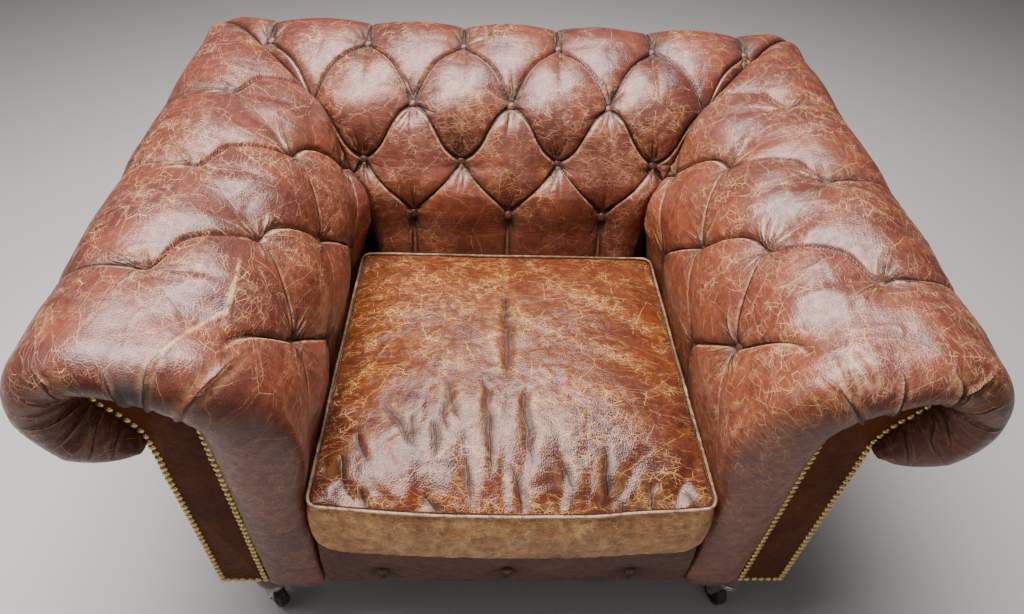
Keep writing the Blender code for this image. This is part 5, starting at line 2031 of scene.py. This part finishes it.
    def press_creases(self, item: bpy.types.Object) -> None:
        """Press the long creases of the seat into the leather, paint shade into their grooves and mark
        its worn places.

        Args:
            item: The filled cushion.
        """
        co = points_of(item.data)
        top = SIZES.deck_top_z + self.height
        upper = smoothstep(top - 0.004, top + 0.004, co[:, 2])
        x, y = co[:, 0], co[:, 1]
        depth, fold, pale = np.zeros((3, len(co)))
        strokes = Strokes(depth)
        bend = Ripple(47)
        bent_x = x + 0.005 * bend(x / 0.03, y / 0.022)
        bent_y = y + 0.004 * bend(y / 0.03, x / 0.022)
        for seam in SEAT_CREASES:
            off, part = seam.closeness(bent_x, bent_y)
            ends = smoothstep(0.0, 0.25, part) * (1.0 - smoothstep(0.7, 1.0, part))
            width = seam.width * (0.45 + 0.75 * np.sin(math.pi * np.clip(part, 0.0, 1.0)))
            groove = np.exp(-((off / width) ** 2)) * ends
            ridge = np.exp(-(((np.abs(off) - 2.2 * width) / (1.2 * width)) ** 2)) * ends
            depth += seam.depth * (groove - 0.16 * ridge)
            # Painted shade in the crease groove, and a thin dark line along it.
            fold = np.maximum(fold, seam.dark * groove)
            strokes.add(off, 0.35 * ends)
            pale = np.maximum(pale, seam.pale * ridge)
        soft = Ripple(41)
        depth += 0.0015 * soft(x / 0.06, y / 0.07)
        depth += 0.0008 * Ripple(42).ridges(x / 0.045 + soft(x / 0.05, y / 0.05), y / 0.06)
        depth += 0.0004 * Ripple(45).ridges(x / 0.02 + soft(x / 0.04, y / 0.05), y / 0.05)
        edge = 1.0 - smoothstep(0.0, 0.05, self.edge_distance(x, y))
        depth += 0.001 * edge * Ripple(43)(x / 0.018, y / 0.018)
        co[:, 2] -= depth * upper
        item.data.vertices.foreach_set("co", self.hang(co).ravel())
        worn = 0.02 + 0.25 * smoothstep(-0.1, 0.7, Ripple(44)(x / 0.1, y / 0.1))
        for line in SEAT_WEAR:
            off, _ = line.closeness(x, y)
            worn = np.maximum(worn, line.pale * np.exp(-((off / line.width) ** 2)))
        front = 1.0 - smoothstep(-0.425, -0.4, y)
        worn = np.clip(worn + 0.55 * front * upper, 0.0, 1.0)
        side = 1.0 - upper
        worn = np.maximum(worn, 0.9 * side)
        red = np.clip(0.15 + 0.85 * smoothstep(-0.38, -0.16, y), 0.0, 1.0)
        hide = np.where((upper > 0.5)[:, None], hide_place(x, y), hide_place(x + y, co[:, 2], 1.0))
        values = {"fold": fold * upper, "worn": worn, "red": red, "pale": pale * upper, "hide": hide}
        for key, value in {**values, "crease": strokes.places() * upper[:, None]}.items():
            keep_values(item.data, key, value)
        item.data.update()

    def edge_distance(self, x: Grid, y: Grid) -> Grid:
        """Distance of each place from the sides of the cushion.

        Args:
            x: x of each place.
            y: y of each place.

        Returns:
            The distances.
        """
        middle_y = self.middle_y()
        half_y = (self.back_d - self.front_d) / 2
        return np.minimum(self.half_width - np.abs(x), half_y - np.abs(y - middle_y))

    def boxing_faces(self, item: bpy.types.Object) -> list[int]:
        """Find the sides of the cushion, which have their own finish.

        Args:
            item: The cushion.

        Returns:
            Numbers of their faces.
        """
        low = SIZES.deck_top_z + 0.001
        high = SIZES.deck_top_z + SIZES.fit_gap + self.height - 0.0015
        return [face.index for face in item.data.polygons if low < face.center.z < high]

    def build_welt(self) -> None:
        """Build the welt that covers the upper seam."""
        loop_a, loop_b = self.rim()
        x, y = self.plan(loop_a, loop_b)
        path = np.stack((x, y), axis=-1)
        run = np.roll(path, -1, axis=0) - np.roll(path, 1, axis=0)
        run /= np.linalg.norm(run, axis=1, keepdims=True)
        out = np.stack((run[:, 1], -run[:, 0]), axis=-1)
        length = path_lengths(path)
        wave = Ripple(51)
        sides = 14
        loops = []
        for at, place, way in zip(length, path, out):
            bend = 0.001 * float(wave(np.array(at / 0.055), np.array(0.5)))
            lift = 0.0016 * float(wave(np.array(at / 0.09), np.array(7.5)))
            radius = self.welt_radius * (1.0 + 0.05 * float(wave(np.array(at / 0.006), np.array(3.5))))
            loop = []
            for i in range(sides):
                angle = 2 * math.pi * i / sides
                reach = 0.002 + bend + radius * math.cos(angle)
                z = SIZES.deck_top_z + self.height + 0.0015 + lift + radius * math.sin(angle)
                loop.append((place[0] + reach * way[0], place[1] + reach * way[1], z))
            loops.append(loop)
        ring = np.array(loops)
        front = 1.0 - smoothstep(-0.43, -0.395, ring[..., 1])
        hung = self.hang(ring.reshape(-1, 3)).reshape(ring.shape)
        item = skin_mesh("cushion_piping", hung, {"pale": 0.5 * front}, Ends.JOINED)
        set_values(item, fold=0.0, worn=0.6, red=0.0)
        dress(item, self.wardrobe["welt_leather"], Slot.WELT, "cushion_welt")


def crease(*path: Pair, depth: float = 0.0055, width: float = 0.005) -> Seam:
    """A crease in the seat through places (x, y), with painted shade in its groove."""
    return Seam(path, 0.42 * depth, 1.1 * width, 0.9, 0.1)


def wear(*path: Pair, width: float = 0.022, amount: float = 1.0) -> Seam:
    """A line of dense cracks on the seat through places (x, y)."""
    return Seam(path, 0.0, width, 0.0, amount)


SEAT_CREASES = (
    crease((-0.009, -0.01), (-0.006, -0.13), (-0.005, -0.255), depth=0.0075, width=0.0075),
    crease((-0.041, -0.23), (-0.036, -0.32), (-0.028, -0.408), depth=0.007, width=0.006),
    crease((0.019, -0.245), (0.022, -0.32), (0.028, -0.39), depth=0.007, width=0.0065),
    crease((-0.099, -0.23), (-0.088, -0.285), (-0.069, -0.322), depth=0.006),
    crease((-0.192, -0.275), (-0.16, -0.325), (-0.131, -0.368), depth=0.006),
    crease((-0.116, -0.31), (-0.11, -0.38), depth=0.005),
    crease((-0.098, -0.276), (-0.099, -0.34), depth=0.0045),
    crease((-0.003, -0.37), (0.01, -0.452), depth=0.005),
    crease((0.131, -0.352), (0.129, -0.43), depth=0.005),
    crease((-0.215, -0.412), (-0.19, -0.447), depth=0.004),
    crease((-0.119, -0.412), (-0.096, -0.45), depth=0.0045),
    crease((0.146, -0.42), (0.147, -0.452), depth=0.0035),
    crease((-0.224, -0.325), (-0.203, -0.38), depth=0.0045),
    crease((0.188, -0.4), (0.189, -0.444), depth=0.0035),
    crease((0.241, -0.41), (0.246, -0.446), depth=0.0035),
    crease((-0.063, -0.365), (-0.059, -0.43), depth=0.0035),
    crease((0.068, -0.36), (0.079, -0.418), depth=0.003),
    crease((-0.15, -0.3), (-0.14, -0.35), depth=0.0035),
    crease((-0.245, -0.36), (-0.232, -0.41), depth=0.004),
)
SEAT_WEAR = (
    wear((-0.253, -0.098), (-0.16, -0.1), (-0.093, -0.094), (-0.008, 0.007)),
    wear((-0.235, -0.05), (-0.16, -0.02), (-0.085, 0.034), amount=0.8),
    wear((-0.008, 0.012), (-0.003, -0.114), width=0.014),
    wear((0.003, -0.105), (0.107, -0.152), (0.18, -0.19), (0.242, -0.248)),
    wear((0.051, 0.033), (0.092, -0.033), (0.16, -0.07), (0.23, -0.117)),
    wear((-0.238, -0.166), (-0.168, -0.129), (-0.12, -0.17), (-0.077, -0.216)),
    wear((-0.25, -0.24), (-0.197, -0.181), width=0.03),
    wear((0.043, -0.25), (0.12, -0.268), (0.194, -0.276)),
    wear((-0.141, -0.449), (-0.097, -0.379), width=0.01, amount=0.8),
    wear((-0.067, -0.186), (-0.01, -0.138), width=0.014),
    wear((0.032, -0.264), (0.037, -0.367), width=0.01, amount=0.9),
    wear((0.062, -0.304), (0.084, -0.418), width=0.008, amount=0.8),
    wear((0.161, -0.04), (0.247, -0.158), width=0.016),
    wear((-0.052, -0.44), (0.043, -0.443), width=0.02),
)


def apply_modifiers(item: bpy.types.Object) -> None:
    """Turn what the modifiers of an object make into its own mesh.

    Args:
        item: The object.
    """
    graph = bpy.context.evaluated_depsgraph_get()
    made = bpy.data.meshes.new_from_object(item.evaluated_get(graph))
    item.modifiers.clear()
    item.data = made


@dataclass
class OutsidePanel:
    """Leather stretched over an outside wall of the frame."""

    name: str
    node: str
    wardrobe: Wardrobe
    seed: int
    swell: float = 0.0035
    edge: float = 0.0022

    def build(self) -> None:
        """Build the panel over its board."""
        low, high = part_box(self.node)
        size = [b - a for a, b in zip(low, high)]
        thin = size.index(min(size))
        wide = 1 - thin
        outward = 1.0 if (low[thin] + high[thin]) > 0 else -1.0
        across = np.linspace(0.0, 1.0, 61)[:, None]
        up = np.linspace(0.0, 1.0, 31)[None, :]
        across, up = np.broadcast_arrays(across, up)
        skin = np.zeros((*across.shape, 3))
        skin[..., wide] = low[wide] + across * size[wide]
        skin[..., 2] = low[2] + up * (self.top(low, high, skin[..., wide], wide) - low[2])
        near = np.minimum(np.minimum(across, 1 - across) * size[wide], np.minimum(up, 1 - up) * size[2])
        dome = 1.0 - (1.0 - np.clip(near / 0.08, 0.0, 1.0)) ** 2
        ease = 1.0 - np.sqrt(np.clip(1.0 - (1.0 - np.clip(near / self.edge, 0.0, 1.0)) ** 2, 0.0, 1.0))
        soft = Ripple(self.seed)
        unevenness = 0.0009 * dome * soft(across * size[wide] / 0.09, up * size[2] / 0.09)
        rise = self.swell * dome - self.edge * ease + unevenness
        face = high[thin] if outward > 0 else low[thin]
        inner = low[thin] if outward > 0 else high[thin]
        skin[..., thin] = face + outward * rise
        self.close(skin, inner, thin)

    def top(self, low: tuple, high: tuple, place: Grid, wide: int) -> Grid:
        """Upper edge of the board, which slopes on the arms.

        Args:
            low: Lower corner of the board's box.
            high: Upper corner of the board's box.
            place: Places along the board.
            wide: The axis along it.

        Returns:
            The height at each place.
        """
        if wide == 0:
            return np.full_like(place, high[2])
        share = (place - low[1]) / (high[1] - low[1])
        front_top = SIZES.arm_roll_end_z + SIZES.lip_thickness / 2
        return front_top + share * (high[2] - front_top)

    def close(self, skin: Grid, inner: float, thin: int) -> None:
        """Close the panel with a flat inner face and put it in the scene.

        Args:
            skin: Points of the leather, as columns by rows by 3.
            inner: Where the inner face lies.
            thin: The axis through the panel.
        """
        index = np.arange(skin[..., 0].size).reshape(skin.shape[:2])
        faces = grid_faces(index).tolist()
        edge = np.concatenate((index[:, 0], index[-1, 1:], index[-2::-1, -1], index[0, -2:0:-1]))
        flat = skin.reshape(-1, 3)
        rim = flat[edge]
        rim[:, thin] = inner
        behind = index.size + np.arange(len(edge))
        walls = (edge, np.roll(edge, -1), np.roll(behind, -1), behind)
        faces += np.stack(walls, axis=-1).tolist()
        faces.append(behind.tolist())
        mesh = bpy.data.meshes.new(self.name)
        mesh.from_pydata(np.concatenate((flat, rim)).tolist(), [], faces)
        item = finish_mesh(self.name, mesh)
        set_values(item)
        mesh.set_sharp_from_angle(angle=math.radians(50))
        dress(item, self.wardrobe["outside_leather"], Slot.FACING, self.node)


@dataclass
class FrontFoot:
    """Turned wooden foot over a caster."""

    name: str
    wardrobe: Wardrobe
    profile: tuple[Pair, ...] = (
        (0.6, 0.000), (0.68, 0.01), (0.78, 0.06), (0.88, 0.13), (0.96, 0.23), (1.00, 0.34),
        (0.99, 0.44), (0.95, 0.53), (0.87, 0.61), (0.79, 0.67), (0.745, 0.71), (0.735, 0.745),
        (0.75, 0.775), (0.86, 0.8), (0.9, 0.83), (0.91, 0.87), (0.9, 0.91), (0.86, 0.935),
        (0.88, 0.955), (0.9, 1.0),
    )

    def build(self) -> None:
        """Build the foot where its solid stands."""
        node = "front_foot_" + self.name
        low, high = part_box(node)
        radius = (high[0] - low[0]) / 2
        place = Matrix.Translation(((low[0] + high[0]) / 2, (low[1] + high[1]) / 2, low[2]))
        height = high[2] - low[2]
        bm = bmesh.new()
        add_lathe(bm, [(radius * r, height * h) for r, h in self.profile], 48, place)
        item = mesh_object("foot_turning_" + self.name, bm, 35.0)
        dress(item, self.wardrobe["dark_wood"], Slot.WOOD, node)


@dataclass
class HiddenFrame:
    """The wooden frame, webbing, deck, rear legs and casters, which keep their solids."""

    wardrobe: Wardrobe
    kept: tuple[tuple[str, str], ...] = (
        ("strap", "webbing"), ("seat_deck", "deck_cloth"), ("dust_cover", "cover_cloth"),
        ("rear_leg", "dark_wood"), ("caster_wheel", "wheel_plastic"), ("caster_", "steel"),
        ("rail", "beech"), ("post", "beech"), ("stump", "beech"), ("upright", "beech"),
        ("corner_block", "beech"),
    )

    def build(self) -> None:
        """Give each solid that stays in view its finish."""
        for name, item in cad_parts.items():
            if item.hide_render:
                continue
            for part, finish in self.kept:
                if part in name:
                    item.data.materials.clear()
                    item.data.materials.append(self.wardrobe[finish])
                    LOG.info("finished %s as %s", name, finish)
                    break


@dataclass
class Studio:
    """Pale floor, soft light and the camera."""

    eye: tuple[float, float, float] = (-0.0495, -0.9349, 1.286)
    yaw: float = 0.0622
    pitch: float = 0.7651
    roll: float = -0.0587
    lens: float = 24.705
    sensor: float = 36.0

    def build(self) -> None:
        """Build floor, lights and camera."""
        self.build_floor()
        self.build_lights()
        self.build_camera()

    def build_floor(self) -> None:
        """A plain pale floor."""
        bm = bmesh.new()
        bmesh.ops.create_grid(bm, x_segments=1, y_segments=1, size=8.0)
        mesh = bpy.data.meshes.new("floor")
        bm.to_mesh(mesh)
        bm.free()
        item = add_to_scene("floor", mesh)
        n = Nodes("floor")
        item.data.materials.append(n.done((0.47, 0.46, 0.45), 0.8))

    def build_lights(self) -> None:
        """Soft light from above and behind, with a weaker one from the front."""
        world = bpy.data.worlds.new("studio")
        world.use_nodes = True
        back = world.node_tree.nodes["Background"]
        back.inputs["Color"].default_value = (0.93, 0.95, 1.0, 1.0)
        back.inputs["Strength"].default_value = 0.07
        bpy.context.scene.world = world
        for name, place, target, size, deep, power in (
            ("overhead", (-0.35, 0.22, 2.4), (0.0, -0.12, 0.45), 2.2, 1.05, 164.0),
            ("front_fill", (0.9, -2.6, 2.1), (0.0, 0.0, 0.45), 2.4, 1.6, 9.0),
            ("left_fill", (-2.4, -0.9, 1.9), (0.0, 0.0, 0.45), 1.4, 1.2, 10.0),
        ):
            light = bpy.data.lights.new(name, "AREA")
            light.shape = "RECTANGLE"
            light.size = size
            light.size_y = deep
            light.color = (1.0, 0.965, 0.95)
            light.energy = power
            item = add_to_scene(name, light)
            item.location = place
            item.rotation_mode = "QUATERNION"
            item.rotation_quaternion = (Vector(target) - Vector(place)).to_track_quat("-Z", "Y")

    def build_camera(self) -> None:
        """The camera at the photograph's place and angle."""
        forward = Vector((math.sin(self.yaw) * math.cos(self.pitch),
                          math.cos(self.yaw) * math.cos(self.pitch), -math.sin(self.pitch)))
        right = Vector((math.cos(self.yaw), -math.sin(self.yaw), 0.0))
        down = forward.cross(right)
        turned_right = math.cos(self.roll) * right + math.sin(self.roll) * down
        turned_down = -math.sin(self.roll) * right + math.cos(self.roll) * down
        camera = bpy.data.cameras.new("camera")
        camera.sensor_width = self.sensor
        camera.lens = self.lens
        camera.clip_end = 60.0
        item = add_to_scene("camera", camera)
        turn = Matrix((turned_right, -turned_down, -forward)).transposed()
        item.matrix_world = Matrix.Translation(self.eye) @ turn.to_4x4()
        bpy.context.scene.camera = item


def main() -> None:
    """Build and dress every piece in order."""
    logging.basicConfig(level=logging.INFO, format="%(name)s: %(message)s")
    wardrobe = Wardrobe()
    wardrobe.build()
    for seed, (name, side) in enumerate(SIDES):
        ArmPad(name, side, wardrobe, seed=seed + 1).build()
        Facing(name, side, wardrobe, seed=seed + 60).build()
        FrontFoot(name, wardrobe).build()
        OutsidePanel("outside_leather_" + name, "outside_arm_" + name, wardrobe, seed + 70).build()
    BackPad(wardrobe).build()
    OutsidePanel("outside_leather_back", "outside_back", wardrobe, 72).build()
    FrontBorder(wardrobe).build()
    SeatCushion(wardrobe).build()
    HiddenFrame(wardrobe).build()
    Studio().build()


if __name__ == "__main__":
    main()
